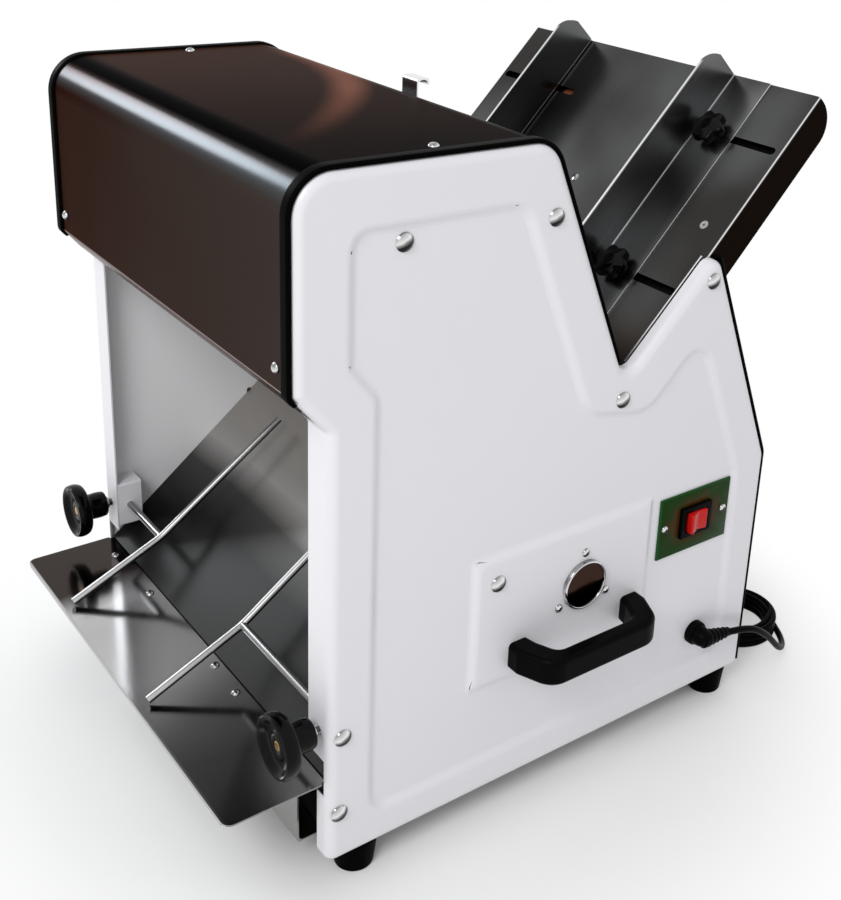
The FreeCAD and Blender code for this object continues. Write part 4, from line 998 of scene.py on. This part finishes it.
# %% Cable gland
LEAD_EXIT = at(246, 452, 65)
LEAD_NEXT = at(249, 508, 60)
UPWARDS = Vector((0, 0, 1))
gland_place = facing(1, FIELD, 450, 66)
NUT = rounded([(0, 7.4, 0), (9.6, 7.2, 1), (12.2, 6.4, 1.2), (12.5, 0, 0)])
gland = set_of(turned(NUT, 48), [gland_place])
BARREL = rounded([(0, 0, 0), (10.2, 0, 0), (10.2, 13, 4), (7.5, 20, 3), (0, 23.5, 0)])
barrel = set_of(turned(BARREL, 48), [gland_place])
boot_turn = UPWARDS.rotation_difference(LEAD_NEXT - LEAD_EXIT).to_matrix().to_4x4()
boot_profile = [(0, -4), (9.0, -4)]
for ring in range(5):
    boot_profile += [(9.0 - ring * 0.8, 2 + ring * 6), (8.0 - ring * 0.8, 3.4 + ring * 6),
                     (7.8 - ring * 0.8, 6.2 + ring * 6)]
boot_profile += [(4.6, 32), (3.5, 32.2)]
boot = set_of(turned(boot_profile, 48), [Matrix.Translation(LEAD_EXIT) @ boot_turn])
for part, name, replaced in ((gland, "gland_nut", ["cable_gland"]), (barrel, "gland_barrel", []),
                             (boot, "gland_boot", [])):
    made = piece(name, part, black_satin, "body", "black_satin", *replaced)
    print(made.name, len(made.data.polygons), "faces")

# %% [markdown]
# ## The mains lead
# The lead leaves the gland towards the back, drops to the worktop and is wound up behind
# the machine, in three layers of two turns. Each layer starts where the last one ended, so
# the lead climbs outside, inside, inside, outside and so on. From the top layer it runs
# straight into the plug, which stands on the worktop beside the coil. A swept mesh would
# look the same, but a curve with a round bevel leaves its path easy to read and change.

# %% The lead's path
LEAD_RADIUS = 3.5
COIL = (152.0, 606.0)
COIL_OUTER = 45.1
COIL_INNER = 38.0
LANDING = radians(58.0)
LEAVING = radians(135.0)
TURN_STEPS = 16
LOW, MIDDLE, HIGH = LEAD_RADIUS, 3 * LEAD_RADIUS, 5 * LEAD_RADIUS
LAYERS = [(COIL_OUTER, LOW), (COIL_INNER, LOW), (COIL_INNER, MIDDLE), (COIL_OUTER, MIDDLE),
          (COIL_INNER, HIGH), (COIL_OUTER, HIGH)]


def coil_point(angle, radius, height):
    return at(COIL[0] + radius * cos(angle), COIL[1] + radius * sin(angle), height - FOOT)


def coil_turn(radius, height, steps=TURN_STEPS):
    return [coil_point(LANDING + step * 2 * pi / TURN_STEPS, radius, height)
            for step in range(steps)]


lead_points = [LEAD_EXIT, LEAD_NEXT, at(247, 546, 36), at(234, 592, -12), at(210, 626, -26.5)]
for radius, height in LAYERS:
    lead_points += coil_turn(radius, height)
lead_points += coil_turn(COIL_OUTER, HIGH, 4)
plug_edge = coil_point(LEAVING, 44.5, HIGH)
onward = Vector((-sin(LEAVING), cos(LEAVING), 0))
plug_tail = plug_edge + onward * 0.0295
plug_tail.z = 0.019
lead_points += [plug_edge + onward * 0.006, plug_tail, plug_tail + onward * 0.006]
print("the lead's path has", len(lead_points), "points")

# %% Mains lead
lead_curve = bpy.data.curves.new("mains_lead", "CURVE")
lead_curve.dimensions = "3D"
spline = lead_curve.splines.new("NURBS")
spline.points.add(len(lead_points) - 1)
for point, place in zip(spline.points, lead_points):
    point.co = (*place, 1)
spline.order_u = 3
spline.use_endpoint_u = True
spline.resolution_u = 6
lead_curve.bevel_depth = LEAD_RADIUS / 1000
lead_curve.bevel_resolution = 4
lead_curve.use_fill_caps = True
mains_lead = new_object("mains_lead", lead_curve)
lead_curve.materials.append(jacket.material)
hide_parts("power_cord", "cord_coil")
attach(mains_lead, "body")

# %% [markdown]
# ## The plug
# The plug is moulded round the lead's end, with finger grooves round its waist, and its
# two round pins are plated. The grooves are part of the turned outline.

# %% Plug
plug_front = plug_tail + onward * 0.052
plug_place = (Matrix.Translation(plug_front)
              @ UPWARDS.rotation_difference(-onward).to_matrix().to_4x4())
PLUG = rounded([(0, 0, 0), (17.4, 0, 1.5), (19, 8, 3), (18.4, 15, 1), (17.2, 17, 1),
                (17.2, 19, 1), (18.4, 21, 1), (18.6, 25, 1), (15.4, 29.5, 2), (12.6, 33, 1),
                (12.2, 35.5, 1), (9.8, 38, 2), (8.4, 43, 2), (6.5, 52, 0), (0, 52, 0)], 3)
plug = set_of(turned(PLUG, 64), [plug_place])
mains_plug = piece("mains_plug", plug, black_satin, "body", "black_gloss", "power_plug")
PIN = rounded([(2.4, 0, 0), (2.4, -18.2, 0.8), (1.6, -19, 0.4), (0, -19, 0)])
pin_places = [plug_place @ Matrix.Translation((0, y, 0)) for y in (-0.0095, 0.0095)]
plug_pins = piece("plug_pins", set_of(turned(PIN, 24), pin_places), bright, "body", "bright")

# %% [markdown]
# ## The room
# A white room could be lit until its walls are white, but then the machine is too bright.
# Instead, the world is plain white to the camera and to mirrors, and gives a weaker light
# to everything that it falls on.

# %% World
scene = bpy.context.scene
scene.view_settings.view_transform = "Standard"
world = bpy.data.worlds.new("studio")
scene.world = world
world.use_nodes = True
tree = world.node_tree
background = tree.nodes["Background"]


def seen_directly(tree):
    """1 for camera, glossy and transmission rays and 0 for the light that falls on things."""
    path = tree.nodes.new("ShaderNodeLightPath")
    total = path.outputs["Is Camera Ray"]
    for kind in ("Is Glossy Ray", "Is Transmission Ray"):
        larger = tree.nodes.new("ShaderNodeMath")
        larger.operation = "MAXIMUM"
        tree.links.new(total, larger.inputs[0])
        tree.links.new(path.outputs[kind], larger.inputs[1])
        total = larger.outputs[0]
    return total


WORLD_LIGHT = 0.62
strength = tree.nodes.new("ShaderNodeMapRange")
strength.inputs["To Min"].default_value = WORLD_LIGHT
strength.inputs["To Max"].default_value = 1.0
tree.links.new(seen_directly(tree), strength.inputs["Value"])
tree.links.new(strength.outputs["Result"], background.inputs["Strength"])
background.inputs["Color"].default_value = (1, 1, 1, 1)
print("the world lights at", WORLD_LIGHT)

# %% [markdown]
# ## The worktop
# The worktop keeps the machine's shadow, and away from the machine it fades into plain
# white, so that it has no horizon. A shadow catcher would need compositing for that.

# %% Worktop
FADE = (0.30, 0.56)
worktop_mesh = bmesh.new()
bmesh.ops.create_grid(worktop_mesh, x_segments=1, y_segments=1, size=8)
worktop_data = bpy.data.meshes.new("worktop")
worktop_mesh.to_mesh(worktop_data)
worktop_mesh.free()
worktop = new_object("worktop", worktop_data)
worktop_finish = Finish("worktop", (0.95, 0.95, 0.95), roughness=0.9)
whole, x, y, z = worktop_finish.place()
distance = (x * x + (y + 0.02) * (y + 0.02)).maths("SQRT")
white = worktop_finish.node("ShaderNodeEmission",
                            sockets={"Color": (1.0, 1.0, 1.0), "Strength": 1.0})
tree = worktop_finish.tree
fade = distance.step(*FADE) * Signal(worktop_finish, seen_directly(tree))
blend = worktop_finish.node("ShaderNodeMixShader", sockets={0: fade})
tree.links.new(worktop_finish.shader.outputs[0], blend.socket.node.inputs[1])
tree.links.new(white.socket, blend.socket.node.inputs[2])
tree.links.new(blend.socket, tree.nodes["Material Output"].inputs["Surface"])
worktop_data.materials.append(worktop_finish.told().material)

# %% [markdown]
# ## Lamps
# Two large soft lamps: one low at the front left, which draws a band along the cover's
# bend, and one high at the front right, which rakes over the side panel and brings out its
# pressed lines. Small lamps would give hard shadows.

# %% Lamps
def soft_lamp(name, place, target, size, power, color=(1, 1, 1)):
    data = bpy.data.lights.new(name, "AREA")
    data.shape = "DISK"
    data.size = size
    data.energy = power
    data.color = color
    lamp = new_object(name, data)
    lamp.location = place
    lamp.rotation_euler = (Vector(target) - Vector(place)).to_track_quat("-Z", "Y").to_euler()
    print(name, power, "W")


soft_lamp("front_left_lamp", (-2.3, -0.95, 1.5), (0, -0.1, 0.5), 0.8, 23, (0.93, 0.97, 1.0))
soft_lamp("front_right_lamp", (1.30, -2.1, 2.3), (0, 0, 0.35), 1.3, 40)

# %% [markdown]
# ## The camera
# The camera stands at the front right and looks a little down, with a slight roll. Aiming
# it at the machine's middle would centre the picture, but shifting the lens does so without
# a change to the lean of the upright lines.

# %% Camera
CAMERA_PLACE = (977.6, -401.0, 826.2)
azimuth, elevation, roll = radians(50.7), radians(19.6), radians(3.4)
back = Vector((sin(azimuth) * cos(elevation), -cos(azimuth) * cos(elevation), sin(elevation)))
right = Vector((cos(azimuth), sin(azimuth), 0))
top = back.cross(right)
rolled_right = right * cos(roll) + top * sin(roll)
rolled_top = top * cos(roll) - right * sin(roll)
view = bpy.data.cameras.new("view")
view.sensor_width = 36
view.lens = 51.86
view.shift_x = -0.1208
view.shift_y = -0.1870
camera = new_object("camera", view)
placed = Matrix((rolled_right, rolled_top, back)).transposed().to_4x4()
camera.matrix_world = Matrix.Translation(at(*CAMERA_PLACE)) @ placed
scene.camera = camera
print("the camera is", round(camera.matrix_world.translation.length, 3), "m from the origin")
